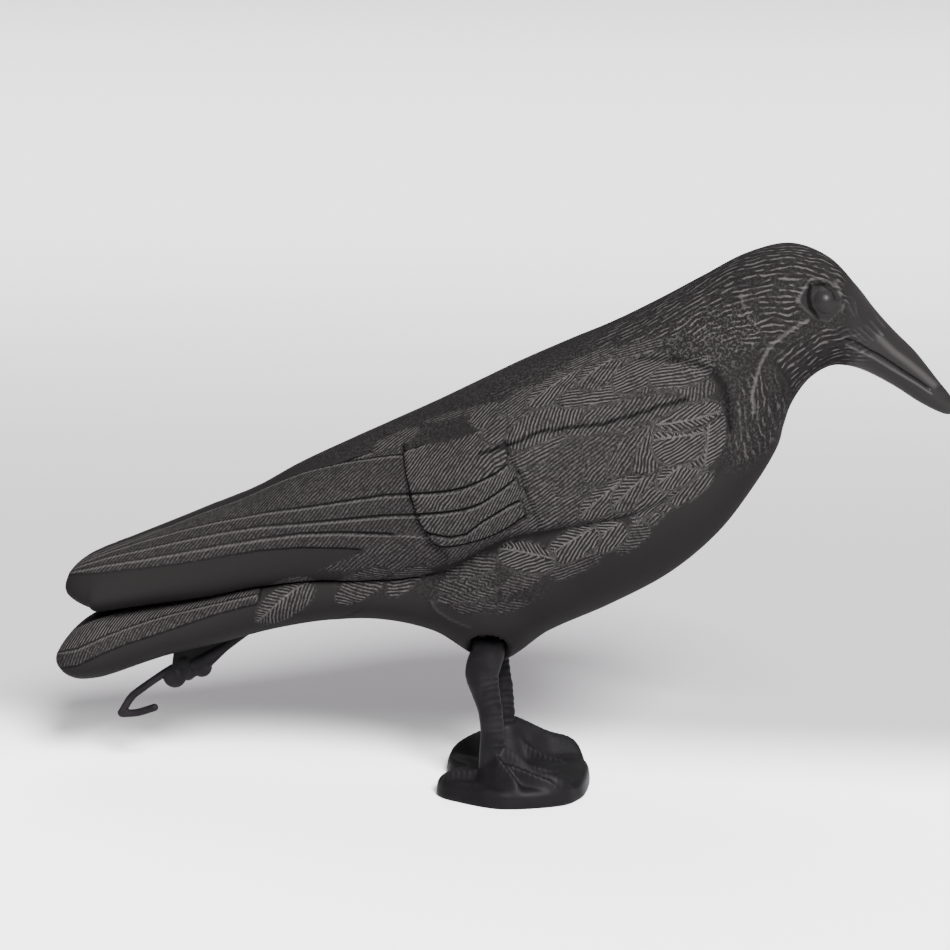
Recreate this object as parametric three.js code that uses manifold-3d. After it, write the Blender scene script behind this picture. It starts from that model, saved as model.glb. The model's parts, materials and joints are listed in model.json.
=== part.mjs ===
// Crow decoy: a blow-moulded plastic crow on a moulded pair of feet, with a
// plastic hanging hook plugged in under its tail.
// Millimetres, +Z up, +X towards the beak, +Y towards the bird's left. The
// origin is the centre of the base's underside.

import * as THREE from "three";
import { mergeVertices } from "three/addons/utils/BufferGeometryUtils.js";
import Module from "manifold-3d";

const wasm = await Module();
wasm.setup();

// Fits and mesh fineness
const FIT_GAP = 0.3;
const WELD = 0.001;
const STATION_STEPS = 3;
const COLUMNS = { belly: 4, flank: 3, wing: 4, back: 7 };

// The moulded body as cross sections from beak tip to the fork between wing
// tips and tail. A row holds the back point x z, the belly point x z, the
// crease under the wing as a share of the way from belly to back, the widest
// flank and the widest wing as shares of the way below and above the crease,
// and the half widths of flank, crease and wing.
const SECTIONS = [
  [189.5, 174.0, 189.0, 173.0, 0.5, 1, 0, 0, 0, 0],
  [186.1, 180.1, 184.3, 171.9, 0.5, 1, 0, 3.0, 3.0, 3.0],
  [180.9, 186.4, 174.1, 176.4, 0.5, 1, 0, 4.8, 4.8, 4.8],
  [171.3, 198.2, 162.1, 183.8, 0.5, 1, 0, 7.6, 7.6, 7.6],
  [161.8, 207.4, 150.6, 189.6, 0.5, 1, 0, 10.0, 10.0, 10.0],
  [153.7, 216.2, 142.1, 192.0, 0.5, 1, 0, 13.0, 13.0, 13.0],
  [145.9, 225.8, 134.6, 191.4, 0.5, 1, 0, 18.5, 18.5, 18.5],
  [133.8, 237.9, 126.3, 185.6, 0.5, 1, 0, 23.5, 23.5, 23.5],
  [117.4, 243.6, 119.7, 175.5, 0.5, 0.9, 0.1, 27.0, 27.0, 27.0],
  [99.0, 239.0, 116.5, 165.8, 0.45, 0.9, 0.1, 30.5, 30.5, 30.5],
  [80.6, 228.9, 113.8, 155.8, 0.35, 0.9, 0.15, 36.5, 36.5, 36.5],
  [61.6, 218.2, 104.7, 139.8, 0.28, 0.9, 0.25, 44.5, 44.0, 46.0],
  [42.5, 208.3, 90.0, 119.5, 0.30, 0.9, 0.35, 51.0, 50.0, 53.0],
  [23.3, 199.7, 69.6, 101.1, 0.35, 0.9, 0.4, 53.0, 52.0, 56.5],
  [3.9, 190.6, 43.7, 85.9, 0.42, 0.85, 0.4, 51.0, 50.0, 57.5],
  [-15.6, 180.9, 17.9, 73.3, 0.46, 0.85, 0.4, 46.0, 46.0, 56.0],
  [-35.3, 171.2, -6.2, 57.9, 0.45, 0.8, 0.4, 40.0, 39.0, 52.0],
  [-55.1, 161.9, -31.6, 71.2, 0.34, 0.75, 0.4, 36.0, 34.0, 47.0],
  [-75.0, 152.5, -56.0, 75.9, 0.30, 0.75, 0.4, 33.0, 30.0, 42.0],
  [-95.0, 142.6, -80.7, 74.1, 0.33, 0.75, 0.38, 30.0, 25.0, 37.5],
  [-115.3, 130.9, -105.4, 69.0, 0.37, 0.75, 0.36, 28.5, 19.0, 34.0],
  [-135.6, 122.2, -129.5, 61.8, 0.39, 0.65, 0.36, 27.5, 12.5, 31.0],
  [-156.1, 113.4, -153.3, 55.4, 0.43, 0.55, 0.36, 27.0, 5.5, 28.5],
];

// Behind the fork: tail underside x z, tail upper side x z, wing underside
// x z, wing upper side x z, the widest shares and the half widths of tail
// and wing tips.
const FORK_SECTIONS = [
  [-177.7, 46.2, -181.2, 74.9, -181.2, 74.9, -176.2, 105.0, 0.45, 0.36, 26.0, 26.0],
  [-185.2, 44.0, -189.2, 71.4, -186.3, 75.9, -184.2, 101.7, 0.42, 0.4, 24.5, 23.0],
  [-192.8, 43.2, -195.8, 66.3, -191.8, 77.5, -190.6, 98.4, 0.42, 0.45, 21.5, 19.0],
  [-198.6, 45.0, -200.9, 60.4, -196.4, 79.9, -195.8, 94.1, 0.45, 0.5, 17.0, 14.0],
  [-202.4, 48.6, -203.6, 55.6, -198.7, 82.3, -198.6, 89.6, 0.5, 0.5, 10.0, 8.0],
  [-204.2, 52.0, -204.2, 52.0, -199.5, 86.0, -199.5, 86.0, 0.5, 0.5, 0, 0],
];

// Front and lower edge of the folded wing in side view, x z, from the thigh
// round the bend up to the shoulder, how far the wing stands out there, how
// wide that step is, and where along X it dies out towards the tail.
const WING_EDGE = [
  [-22, 109], [1, 122], [28, 130], [55, 136], [76, 146], [91, 155],
  [96, 167], [93, 181], [84, 194], [66, 201], [30, 203],
];
const WING_STEP = 2.8;
const WING_STEP_RUN = 5;
const WING_STEP_END_X = [-30, 0];

// Covert rows: the tips of each row stand over the next, and the long
// flight feathers behind them are grooved lengthwise.
const COVERT_TIPS_X = [-38, 12, 58];
const COVERT_FRONT_X = 98;
const COVERT_STEP = 2;
const FLIGHT_GROOVE = 1.1;

// Thigh swelling: centre x z, half length, half height, rise, and the shares
// of that ellipse between which it slopes
const THIGH = { x: 2, z: 92, length: 34, height: 24, rise: 3.2, slope: [0.35, 1.1] };

// Relief fades to nothing towards the mould's parting plane, over these
// distances from it.
const PLANE_FADE = [2, 14];

// Eyes and the line of the mouth
const EYE = { x: 131.5, y: 18.5, z: 221.8, radius: 4.7 };
const MOUTH = {
  back: [139.5, 205.7], tip: [181, 178], cut: 0.7,
  halfWidths: [[0, 17.6], [0.2, 12.6], [0.45, 9.6], [0.75, 6.6], [1, 3.6]],
  depth: 1.2, reach: 5,
};

// Foot stand: a domed pad with two legs, three front toes and a hind toe each
const PAD_OUTLINE = [
  [34.2, 0], [33.6, 11], [31.5, 18.5], [26.3, 26.6], [14, 32.8], [1, 35.7],
  [-8, 34.2], [-21, 28], [-28, 23.4], [-31.3, 17], [-29, 8.5], [-22, 0],
];
const PAD_CENTRE = [3, 0];
const PAD_RIM = 2.6;
const PAD_DOME = 6.6;
const PAD_FULLNESS = 8;
const PAD_SECTORS = 38;
const PAD_RINGS = [1, 0.98, 0.92, 0.75, 0.4];
const LEG = {
  side: 19,
  path: [[-6.4, 10], [-6.6, 22], [-8.2, 30], [-9.8, 41], [-13, 54], [-11.2, 66.5]],
  radii: [7, 5, 4.3, 4.1, 5.6, 5.2],
  sides: 10,
  rings: 11,
};
const LEG_PEG = { radius: 3.4, top: 84, buried: 3 };
const LEG_SOCKET = { mouth: 8, mouthTop: 72, below: 40 };
const TOES = [
  {
    path: [[-7, 20, 19], [4, 23.5, 18.2], [14, 26.5, 12.8], [27.5, 25, 7.4]],
    radii: [5, 4.6, 3.7, 2.8],
  },
  { path: [[-5, 22, 13], [1, 28, 11], [5, 32, 6]], radii: [4, 3.2, 2.4] },
  { path: [[-4, 18, 13], [9, 12, 10], [23, 9, 6.4]], radii: [4.2, 3.2, 2.4] },
  { path: [[-8, 20, 14], [-18, 21, 11], [-26, 19.5, 6.8]], radii: [4.6, 4, 3.4] },
];

// Tail hook: a tongue plugged into the tail's underside, a puffy lobed grip,
// and a thin rod with a bent-back tip. Paths are x z on the middle plane.
const TONGUE_PATH = [[-110.5, 72.6], [-131, 57.6], [-145, 49.4]];
const TONGUE_RADIUS = 2.1;
const ROD_PATH = [
  [-150, 50.1], [-158.5, 43.6], [-169.5, 35.2], [-172.6, 32.2], [-175.5, 27.2],
  [-175.9, 25.0], [-173.8, 24.7], [-169.7, 25.4], [-161, 28.3],
];
const ROD_RADIUS = 1.7;
const GRIP_LOBES = [
  { x: -152.1, z: 44.1, radius: 5.4 },
  { x: -139.7, z: 47.6, radius: 5 },
  { x: -145, z: 46.2, radius: 4.2 },
  { x: -146.2, z: 49.8, radius: 4.9 },
];
const GRIP_FLATTEN = 0.6;
const WEB = {
  outline: [[-126.5, 60.5], [-150.3, 55.3], [-151, 49], [-144, 48]],
  thick: 3,
};

const plastic = (roughness) =>
  new THREE.MeshStandardMaterial({ color: 0x1d1c1e, roughness, metalness: 0 });

// Vertices that fall together are made one, and flat triangles are dropped.
function weld(points, triangles) {
  const seen = new Map();
  const positions = [];
  const index = points.map((point) => {
    const key = point.map((value) => Math.round(value / WELD)).join(",");
    if (!seen.has(key)) {
      seen.set(key, positions.length / 3);
      positions.push(...point);
    }
    return seen.get(key);
  });
  const kept = triangles
    .map((corners) => corners.map((corner) => index[corner]))
    .filter(([a, b, c]) => a !== b && b !== c && c !== a);
  const geometry = new THREE.BufferGeometry();
  geometry.setAttribute("position", new THREE.Float32BufferAttribute(positions, 3));
  geometry.setIndex(kept.flat());
  return geometry;
}

function toSolid(geometry) {
  const bare = new THREE.BufferGeometry();
  bare.setAttribute("position", geometry.getAttribute("position"));
  bare.setIndex(geometry.getIndex());
  const merged = mergeVertices(bare, WELD);
  return new wasm.Manifold(new wasm.Mesh({
    numProp: 3,
    vertProperties: new Float32Array(merged.getAttribute("position").array),
    triVerts: new Uint32Array(merged.getIndex().array),
  }));
}

function toGeometry(solid) {
  const mesh = solid.getMesh();
  const geometry = new THREE.BufferGeometry();
  geometry.setAttribute("position", new THREE.BufferAttribute(mesh.vertProperties, 3));
  geometry.setIndex(new THREE.BufferAttribute(mesh.triVerts, 1));
  geometry.computeVertexNormals();
  return geometry;
}

// Triangles between successive closed rings of the same number of points
function ringTriangles(rings, sides) {
  const triangles = [];
  for (let i = 0; i + 1 < rings; i++) {
    for (let j = 0; j < sides; j++) {
      const next = (j + 1) % sides;
      const [a, b] = [i * sides + j, i * sides + next];
      triangles.push([a, b, b + sides], [a, b + sides, a + sides]);
    }
  }
  return triangles;
}

// A uniform Catmull-Rom blend of the rows of a table at place u.
function blendRows(rows, u) {
  const last = rows.length - 1;
  const i = Math.min(Math.floor(u), last - 1);
  const t = u - i;
  const row = (k) => rows[THREE.MathUtils.clamp(k, 0, last)];
  return rows[0].map((_, c) => {
    const [p, q, r, s] = [row(i - 1)[c], row(i)[c], row(i + 1)[c], row(i + 2)[c]];
    return 0.5 * (2 * q + (r - p) * t + (2 * p - 5 * q + 4 * r - s) * t * t
      + (3 * q - p - 3 * r + s) * t * t * t);
  });
}

// Both tables in one form: belly, crease from below, crease from above, back.
const forkAt = SECTIONS.length;
const sectionRows = [
  ...SECTIONS.map(([tx, tz, bx, bz, share, low, high, flank, crease, wing]) => {
    const kx = bx + share * (tx - bx);
    const kz = bz + share * (tz - bz);
    return [bx, bz, kx, kz, kx, kz, tx, tz, low, high, flank, crease, wing];
  }),
  ...FORK_SECTIONS.map(([bx, bz, kx, kz, lx, lz, tx, tz, low, high, tail, wing]) =>
    [bx, bz, kx, kz, lx, lz, tx, tz, low, high, tail, 0, wing]),
];

// Half section as four quarter ellipses: belly to flank, flank to crease,
// crease to wing, wing to back. Returns the columns below the crease and
// those above it, on the +Y side.
function halfSection(u) {
  const [bx, bz, kx, kz, lx, lz, tx, tz, low, high, ...widths] = blendRows(sectionRows, u);
  const [flank, crease, wing] = widths.map((width) => Math.max(width, 0));
  const forked = u >= forkAt;
  const lower = forked ? [kx, kz] : [(kx + lx) / 2, (kz + lz) / 2];
  const upper = forked ? [lx, lz] : lower;
  const open = forked ? 0 : crease;
  const place = (from, to, share, y) => [
    from[0] + share * (to[0] - from[0]), y, from[1] + share * (to[1] - from[1]),
  ];
  const arc = (count, step) => Array.from({ length: count + 1 }, (_, i) => {
    const angle = (i / count) * Math.PI / 2;
    return step(Math.sin(angle), Math.cos(angle));
  });
  const below = [
    ...arc(COLUMNS.belly, (s, c) => place([bx, bz], lower, low * (1 - c), flank * s)),
    ...arc(COLUMNS.flank, (s, c) =>
      place([bx, bz], lower, low + (1 - low) * s, open + (flank - open) * c)).slice(1),
  ];
  const above = [
    ...arc(COLUMNS.wing, (s, c) =>
      place(upper, [tx, tz], high * (1 - c), open + (wing - open) * s)),
    ...arc(COLUMNS.back, (s, c) =>
      place(upper, [tx, tz], high + (1 - high) * s, wing * c)).slice(1),
  ];
  return { below, above };
}

// Distance from a side-view point to the wing's edge, positive on the wing.
const edgeShape = new THREE.SplineCurve(WING_EDGE.map(([x, z]) => new THREE.Vector2(x, z)));
const edgePoints = edgeShape.getPoints(60);
function insideWing(x, z) {
  let nearest = Infinity;
  let side = 1;
  for (let i = 1; i < edgePoints.length; i++) {
    const a = edgePoints[i - 1];
    const along = edgePoints[i].clone().sub(a);
    const to = new THREE.Vector2(x, z).sub(a);
    const t = THREE.MathUtils.clamp(to.dot(along) / along.lengthSq(), 0, 1);
    const away = to.distanceTo(along.clone().multiplyScalar(t));
    if (away < nearest) {
      nearest = away;
      side = Math.sign(along.cross(to)) || 1;
    }
  }
  return side * nearest;
}

// How far the side of the bird stands out at a side-view point
function sideRelief(x, z, grooved) {
  const smooth = THREE.MathUtils.smoothstep;
  const wing = smooth(insideWing(x, z), -WING_STEP_RUN / 2, WING_STEP_RUN / 2);
  let rise = WING_STEP * wing * smooth(x, ...WING_STEP_END_X);
  COVERT_TIPS_X.forEach((tip, i) => {
    const root = COVERT_TIPS_X[i + 1] ?? COVERT_FRONT_X;
    if (x > tip && x < root) {
      rise += COVERT_STEP * wing * (root - x) / (root - tip);
    }
  });
  const thighReach = Math.hypot((x - THIGH.x) / THIGH.length, (z - THIGH.z) / THIGH.height);
  rise += THIGH.rise * (1 - smooth(thighReach, ...THIGH.slope)) * (1 - wing);
  if (grooved && x < COVERT_TIPS_X[0]) {
    rise -= FLIGHT_GROOVE;
  }
  return rise;
}

// The bird's skin: half sections joined along the body, mirrored across the
// mould's parting plane.
function skin() {
  const points = [];
  const triangles = [];
  const lowCount = COLUMNS.belly + COLUMNS.flank + 1;
  const highCount = COLUMNS.wing + COLUMNS.back + 1;
  const count = lowCount + highCount;
  const stations = (sectionRows.length - 1) * STATION_STEPS + 1;
  for (const side of [1, -1]) {
    const first = points.length;
    for (let i = 0; i < stations; i++) {
      const { below, above } = halfSection(i / STATION_STEPS);
      [...below, ...above].forEach(([x, y, z], column) => {
        const groove = column > lowCount + 1 && column < count - 3 && column % 2 === 0;
        const fade = THREE.MathUtils.smoothstep(y, ...PLANE_FADE);
        const rise = fade > 0 ? sideRelief(x, z, groove) * fade : 0;
        points.push([x, side * (y + rise), z]);
      });
    }
    for (let i = 0; i + 1 < stations; i++) {
      for (let j = 0; j + 1 < count; j++) {
        if (j === lowCount - 1) continue;
        const a = first + i * count + j;
        const quad = [a, a + count, a + count + 1, a + 1];
        if (side < 0) quad.reverse();
        triangles.push([quad[0], quad[1], quad[2]], [quad[0], quad[2], quad[3]]);
      }
    }
  }
  return weld(points, triangles);
}

// A closed round bar through points, with its own radius at each point.
function bar(path, radii, sides, rings) {
  const curve = new THREE.CatmullRomCurve3(
    path.map(([x, y, z]) => new THREE.Vector3(x, y, z)), false, "centripetal");
  const frames = curve.computeFrenetFrames(rings, false);
  const points = [];
  for (let i = 0; i <= rings; i++) {
    const t = i / rings;
    const centre = curve.getPointAt(t);
    const [radius] = blendRows(radii.map((value) => [value]), t * (radii.length - 1));
    for (let j = 0; j < sides; j++) {
      const angle = (j / sides) * Math.PI * 2;
      const point = centre.clone()
        .addScaledVector(frames.normals[i], radius * Math.cos(angle))
        .addScaledVector(frames.binormals[i], radius * Math.sin(angle));
      points.push(point.toArray());
    }
  }
  const triangles = ringTriangles(rings + 1, sides);
  for (let j = 1; j + 1 < sides; j++) {
    triangles.push([0, j + 1, j]);
    triangles.push([rings * sides, rings * sides + j, rings * sides + j + 1]);
  }
  return weld(points, triangles);
}

// An upright round post between two heights
function post(x, y, bottom, top, radius, sides) {
  const geometry = new THREE.CylinderGeometry(radius, radius, top - bottom, sides);
  geometry.rotateX(Math.PI / 2);
  geometry.translate(x, y, (top + bottom) / 2);
  return toSolid(geometry);
}

function eyeball(side) {
  const geometry = new THREE.SphereGeometry(EYE.radius, 12, 8);
  geometry.translate(EYE.x, side * EYE.y, EYE.z);
  return toSolid(geometry);
}

// The mouth line: a thin slanted plate that bites into each side of the beak
function mouthCut(side) {
  const [bx, bz] = MOUTH.back;
  const [tx, tz] = MOUTH.tip;
  const length = Math.hypot(tx - bx, tz - bz);
  const shape = new THREE.Shape();
  const inner = MOUTH.halfWidths.map(([t, half]) => [t * length, half - MOUTH.depth]);
  const outer = MOUTH.halfWidths.map(([t, half]) => [t * length, half + MOUTH.reach]).reverse();
  shape.setFromPoints([...inner, ...outer].map(([x, y]) => new THREE.Vector2(x, side * y)));
  const geometry = new THREE.ExtrudeGeometry(shape, { depth: MOUTH.cut, bevelEnabled: false });
  geometry.translate(0, 0, -MOUTH.cut / 2);
  geometry.rotateY(Math.atan2(bz - tz, tx - bx));
  geometry.translate(bx, 0, bz);
  return toSolid(geometry);
}

const onPlane = (path) => path.map(([x, z]) => [x, 0, z]);

// The round hole in the tail's underside that takes the hook's tongue
function hookSocket() {
  const [end, mouth] = onPlane(TONGUE_PATH).map((point) => new THREE.Vector3(...point));
  const deeper = end.clone().sub(mouth).setLength(FIT_GAP);
  const bottom = end.clone().add(deeper);
  const path = [mouth, mouth.clone().lerp(bottom, 0.5), bottom];
  const radius = TONGUE_RADIUS + FIT_GAP;
  return toSolid(bar(path.map((point) => point.toArray()), [radius, radius, radius], 12, 2));
}

function buildBody() {
  let body = toSolid(skin());
  for (const side of [1, -1]) {
    body = body.add(eyeball(side));
    body = body.subtract(mouthCut(side));
    const [topX] = LEG.path.at(-1);
    const y = side * LEG.side;
    const { mouth, mouthTop, below } = LEG_SOCKET;
    body = body.subtract(post(topX, y, below, mouthTop, mouth, 20));
    const pegHole = LEG_PEG.radius + FIT_GAP;
    body = body.subtract(post(topX, y, below, LEG_PEG.top + FIT_GAP, pegHole, 16));
  }
  return body.subtract(hookSocket());
}

// Domed pad: rings of the outline drawn in towards its centre
function pad() {
  const half = PAD_OUTLINE.map(([x, y]) => new THREE.Vector3(x, y, 0));
  const mirrored = half.slice(1, -1).reverse().map((point) => point.clone().setY(-point.y));
  const outline = new THREE.CatmullRomCurve3([...half, ...mirrored], true, "centripetal");
  const edge = outline.getPoints(PAD_SECTORS).slice(0, PAD_SECTORS);
  const [cx, cy] = PAD_CENTRE;
  const points = [];
  const ring = (share, z) => edge.forEach(({ x, y }) => {
    points.push([cx + share * (x - cx), cy + share * (y - cy), z]);
  });
  ring(1, 0);
  for (const share of PAD_RINGS) {
    ring(share, PAD_RIM + PAD_DOME * Math.sqrt(1 - share ** PAD_FULLNESS));
  }
  const triangles = ringTriangles(PAD_RINGS.length + 1, PAD_SECTORS);
  const under = points.push([cx, cy, 0]) - 1;
  const crown = points.push([cx, cy, PAD_RIM + PAD_DOME]) - 1;
  const last = PAD_RINGS.length * PAD_SECTORS;
  for (let j = 0; j < PAD_SECTORS; j++) {
    const next = (j + 1) % PAD_SECTORS;
    triangles.push([under, next, j], [crown, last + j, last + next]);
  }
  return toSolid(weld(points, triangles));
}

function buildStand() {
  let stand = pad();
  for (const side of [1, -1]) {
    const path = LEG.path.map(([x, z]) => [x, side * LEG.side, z]);
    stand = stand.add(toSolid(bar(path, LEG.radii, LEG.sides, LEG.rings)));
    const [topX, topZ] = LEG.path.at(-1);
    const { radius, top, buried } = LEG_PEG;
    stand = stand.add(post(topX, side * LEG.side, topZ - buried, top, radius, 12));
    for (const { path: toe, radii } of TOES) {
      stand = stand.add(toSolid(bar(toe.map(([x, y, z]) => [x, side * y, z]), radii, 8, 4)));
    }
  }
  return stand;
}

// One puffy lobe of the grip: a ball flattened across the middle plane
function gripLobe({ x, z, radius }) {
  const geometry = new THREE.SphereGeometry(radius, 9, 6);
  geometry.scale(1, GRIP_FLATTEN, 1);
  geometry.translate(x, 0, z);
  return toSolid(geometry);
}

function buildHook() {
  const rod = bar(onPlane(ROD_PATH), ROD_PATH.map(() => ROD_RADIUS), 8, 18);
  const tongue = bar(onPlane(TONGUE_PATH), TONGUE_PATH.map(() => TONGUE_RADIUS), 9, 4);
  const outline = WEB.outline.map(([x, z]) => new THREE.Vector2(x, z));
  const web = new THREE.ExtrudeGeometry(
    new THREE.Shape(outline), { depth: WEB.thick, bevelEnabled: false });
  web.rotateX(Math.PI / 2);
  web.translate(0, WEB.thick / 2, 0);
  let hook = toSolid(rod).add(toSolid(tongue)).add(toSolid(web));
  for (const lobe of GRIP_LOBES) {
    hook = hook.add(gripLobe(lobe));
  }
  return hook;
}

function part(name, solid, material) {
  const mesh = new THREE.Mesh(toGeometry(solid), material);
  mesh.name = name;
  return mesh;
}

const crow = new THREE.Group();
crow.add(part("body", buildBody(), plastic(0.52)));
crow.add(part("foot_stand", buildStand(), plastic(0.45)));
crow.add(part("tail_hook", buildHook(), plastic(0.45)));

export default crow;
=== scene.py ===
# %% [markdown]
# Crow decoy. A blow-moulded plastic crow stands on a moulded pair of feet, with a
# plastic hanging hook plugged in under its tail. This lesson dresses the packed
# CAD frame: every piece is a surface worked out with numpy in the frame's own
# place, then coloured with procedural materials. Tables are in millimetres, as a
# maker would measure them, and one factor turns them into Blender's metres.

# %% Load the frame
import json
import math

import bpy
import numpy as np
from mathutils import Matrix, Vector

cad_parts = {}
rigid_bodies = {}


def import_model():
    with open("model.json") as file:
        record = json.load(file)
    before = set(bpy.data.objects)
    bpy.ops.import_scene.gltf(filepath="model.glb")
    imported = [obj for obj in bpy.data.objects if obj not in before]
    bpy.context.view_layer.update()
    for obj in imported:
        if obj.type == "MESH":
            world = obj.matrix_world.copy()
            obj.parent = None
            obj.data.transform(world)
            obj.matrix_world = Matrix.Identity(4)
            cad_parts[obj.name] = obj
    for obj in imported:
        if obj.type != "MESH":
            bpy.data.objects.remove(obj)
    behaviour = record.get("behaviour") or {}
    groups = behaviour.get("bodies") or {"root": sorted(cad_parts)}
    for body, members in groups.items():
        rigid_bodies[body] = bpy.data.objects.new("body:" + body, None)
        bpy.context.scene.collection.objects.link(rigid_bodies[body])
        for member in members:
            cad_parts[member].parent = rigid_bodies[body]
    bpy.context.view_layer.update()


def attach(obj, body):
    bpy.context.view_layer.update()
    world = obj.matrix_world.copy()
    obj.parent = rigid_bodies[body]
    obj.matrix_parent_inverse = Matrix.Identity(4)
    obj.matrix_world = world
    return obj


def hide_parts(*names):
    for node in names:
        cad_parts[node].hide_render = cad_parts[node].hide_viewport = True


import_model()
MM = 0.001

# %% [markdown]
# The camera comes first, because it fixes what has to be seen. The picture was
# taken from the bird's right, a little above it and a little towards its beak. A
# long lens far away gives the same flat perspective. The lens length follows from
# how many millimetres one pixel covers at the bird.

# %% Camera
VIEW_TURN = 7.5
VIEW_HEIGHT = 12.0
VIEW_DISTANCE = 1300.0
VIEW_TARGET = (-16.5, 0.0, 139.9)
PIXEL_AT_TARGET = 0.4343
FRAME_PIXELS = 950
SENSOR = 36.0


def look_from(turn, height, distance, target):
    """Camera place: target plus distance times the unit vector that turn and height give."""
    a, e = math.radians(turn), math.radians(height)
    back = Vector((math.sin(a) * math.cos(e), -math.cos(a) * math.cos(e), math.sin(e)))
    return Vector(target) * MM + back * distance * MM, -back


camera = bpy.data.objects.new("camera", bpy.data.cameras.new("camera"))
bpy.context.scene.collection.objects.link(camera)
bpy.context.scene.camera = camera
camera.location, forward = look_from(VIEW_TURN, VIEW_HEIGHT, VIEW_DISTANCE, VIEW_TARGET)
camera.rotation_euler = forward.to_track_quat("-Z", "Y").to_euler()
camera.data.sensor_width = SENSOR
camera.data.lens = SENSOR * VIEW_DISTANCE / PIXEL_AT_TARGET / FRAME_PIXELS
camera.data.clip_start, camera.data.clip_end = 0.05, 50.0
print("lens in mm:", round(camera.data.lens, 1))

# %% [markdown]
# The body is one hollow moulding, so its skin is one closed surface. It is drawn
# as cross sections from beak tip to tail tip, the way a boat's hull is lofted.
# Each section runs from the belly point up to the back point, in slanted planes
# that follow the bird. Behind the fork, tail and wing tips part company, so each
# row there has four points instead of two.

# %% Sections of the body
# Back x z, belly x z, crease share, widest shares below and above, half widths of
# flank, crease and wing
SECTIONS = [
    [189.5, 174.0, 189.0, 173.0, 0.5, 1, 0, 0, 0, 0],
    [186.1, 180.1, 184.3, 171.9, 0.5, 1, 0, 3.0, 3.0, 3.0],
    [180.9, 186.4, 174.1, 176.4, 0.5, 1, 0, 4.8, 4.8, 4.8],
    [171.3, 198.2, 162.1, 183.8, 0.5, 1, 0, 7.6, 7.6, 7.6],
    [161.8, 207.4, 150.6, 189.6, 0.5, 1, 0, 10.0, 10.0, 10.0],
    [153.7, 216.2, 142.1, 192.0, 0.5, 1, 0, 13.0, 13.0, 13.0],
    [145.9, 225.8, 134.6, 191.4, 0.5, 1, 0, 18.5, 18.5, 18.5],
    [133.8, 237.9, 126.3, 185.6, 0.5, 1, 0, 23.5, 23.5, 23.5],
    [117.4, 243.6, 119.7, 175.5, 0.5, 0.9, 0.1, 27.0, 27.0, 27.0],
    [99.0, 239.0, 116.5, 165.8, 0.45, 0.9, 0.1, 30.5, 30.5, 30.5],
    [80.6, 228.9, 113.8, 155.8, 0.35, 0.9, 0.15, 36.5, 36.5, 36.5],
    [61.6, 218.2, 104.7, 139.8, 0.28, 0.9, 0.25, 44.5, 44.0, 46.0],
    [42.5, 208.3, 90.0, 119.5, 0.30, 0.9, 0.35, 51.0, 50.0, 53.0],
    [23.3, 199.7, 69.6, 101.1, 0.35, 0.9, 0.4, 53.0, 52.0, 56.5],
    [3.9, 190.6, 43.7, 85.9, 0.42, 0.85, 0.4, 51.0, 50.0, 57.5],
    [-15.6, 180.9, 17.9, 73.3, 0.46, 0.85, 0.4, 46.0, 46.0, 56.0],
    [-35.3, 171.2, -6.2, 57.9, 0.45, 0.8, 0.4, 40.0, 39.0, 52.0],
    [-55.1, 161.9, -31.6, 71.2, 0.34, 0.75, 0.4, 36.0, 34.0, 47.0],
    [-75.0, 152.5, -56.0, 75.9, 0.30, 0.75, 0.4, 33.0, 30.0, 42.0],
    [-95.0, 142.6, -80.7, 74.1, 0.33, 0.75, 0.38, 30.0, 25.0, 37.5],
    [-115.3, 130.9, -105.4, 69.0, 0.37, 0.75, 0.36, 28.5, 19.0, 34.0],
    [-135.6, 122.2, -129.5, 61.8, 0.39, 0.65, 0.36, 27.5, 12.5, 31.0],
    [-156.1, 113.4, -153.3, 55.4, 0.43, 0.55, 0.36, 27.0, 5.5, 28.5],
]
# Tail underside x z, tail top x z, wing underside x z, wing top x z, widest shares
# and half widths of tail and wing tips
FORK_SECTIONS = [
    [-177.7, 46.2, -181.2, 74.9, -181.2, 74.9, -176.2, 105.0, 0.45, 0.36, 26.0, 26.0],
    [-185.2, 44.0, -189.2, 71.4, -186.3, 75.9, -184.2, 101.7, 0.42, 0.4, 24.5, 23.0],
    [-192.8, 43.2, -195.8, 66.3, -191.8, 77.5, -190.6, 98.4, 0.42, 0.45, 21.5, 19.0],
    [-198.6, 45.0, -200.9, 60.4, -196.4, 79.9, -195.8, 94.1, 0.45, 0.5, 17.0, 14.0],
    [-202.4, 48.6, -203.6, 55.6, -198.7, 82.3, -198.6, 89.6, 0.5, 0.5, 10.0, 8.0],
    [-204.2, 52.0, -204.2, 52.0, -199.5, 86.0, -199.5, 86.0, 0.5, 0.5, 0, 0],
]
FORK_AT = len(SECTIONS)


def section_rows():
    """Both tables as belly, crease from below, crease from above, back, shares, widths."""
    front = np.array(SECTIONS, float)
    back_point, belly_point, share = front[:, 0:2], front[:, 2:4], front[:, 4:5]
    crease = belly_point + share * (back_point - belly_point)
    rows = np.hstack([belly_point, crease, crease, back_point, front[:, 5:10]])
    rear = np.array(FORK_SECTIONS, float)
    closed = np.zeros((len(rear), 1))
    return np.vstack([rows, np.hstack([rear[:, :11], closed, rear[:, 11:]])])


ROWS = section_rows()
print("section rows:", len(ROWS), "of which behind the fork:", len(ROWS) - FORK_AT)

# %% [markdown]
# Between the rows, a Catmull-Rom blend makes every column of numbers run smoothly
# from one section to the next. A half section is four quarter ellipses: belly to
# flank, flank to the crease under the wing, crease to wing, wing to back. Points
# are then spread along it by length, so the mesh is even from end to end.

# %% Lofting functions
ARC_STEPS = 48


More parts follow.
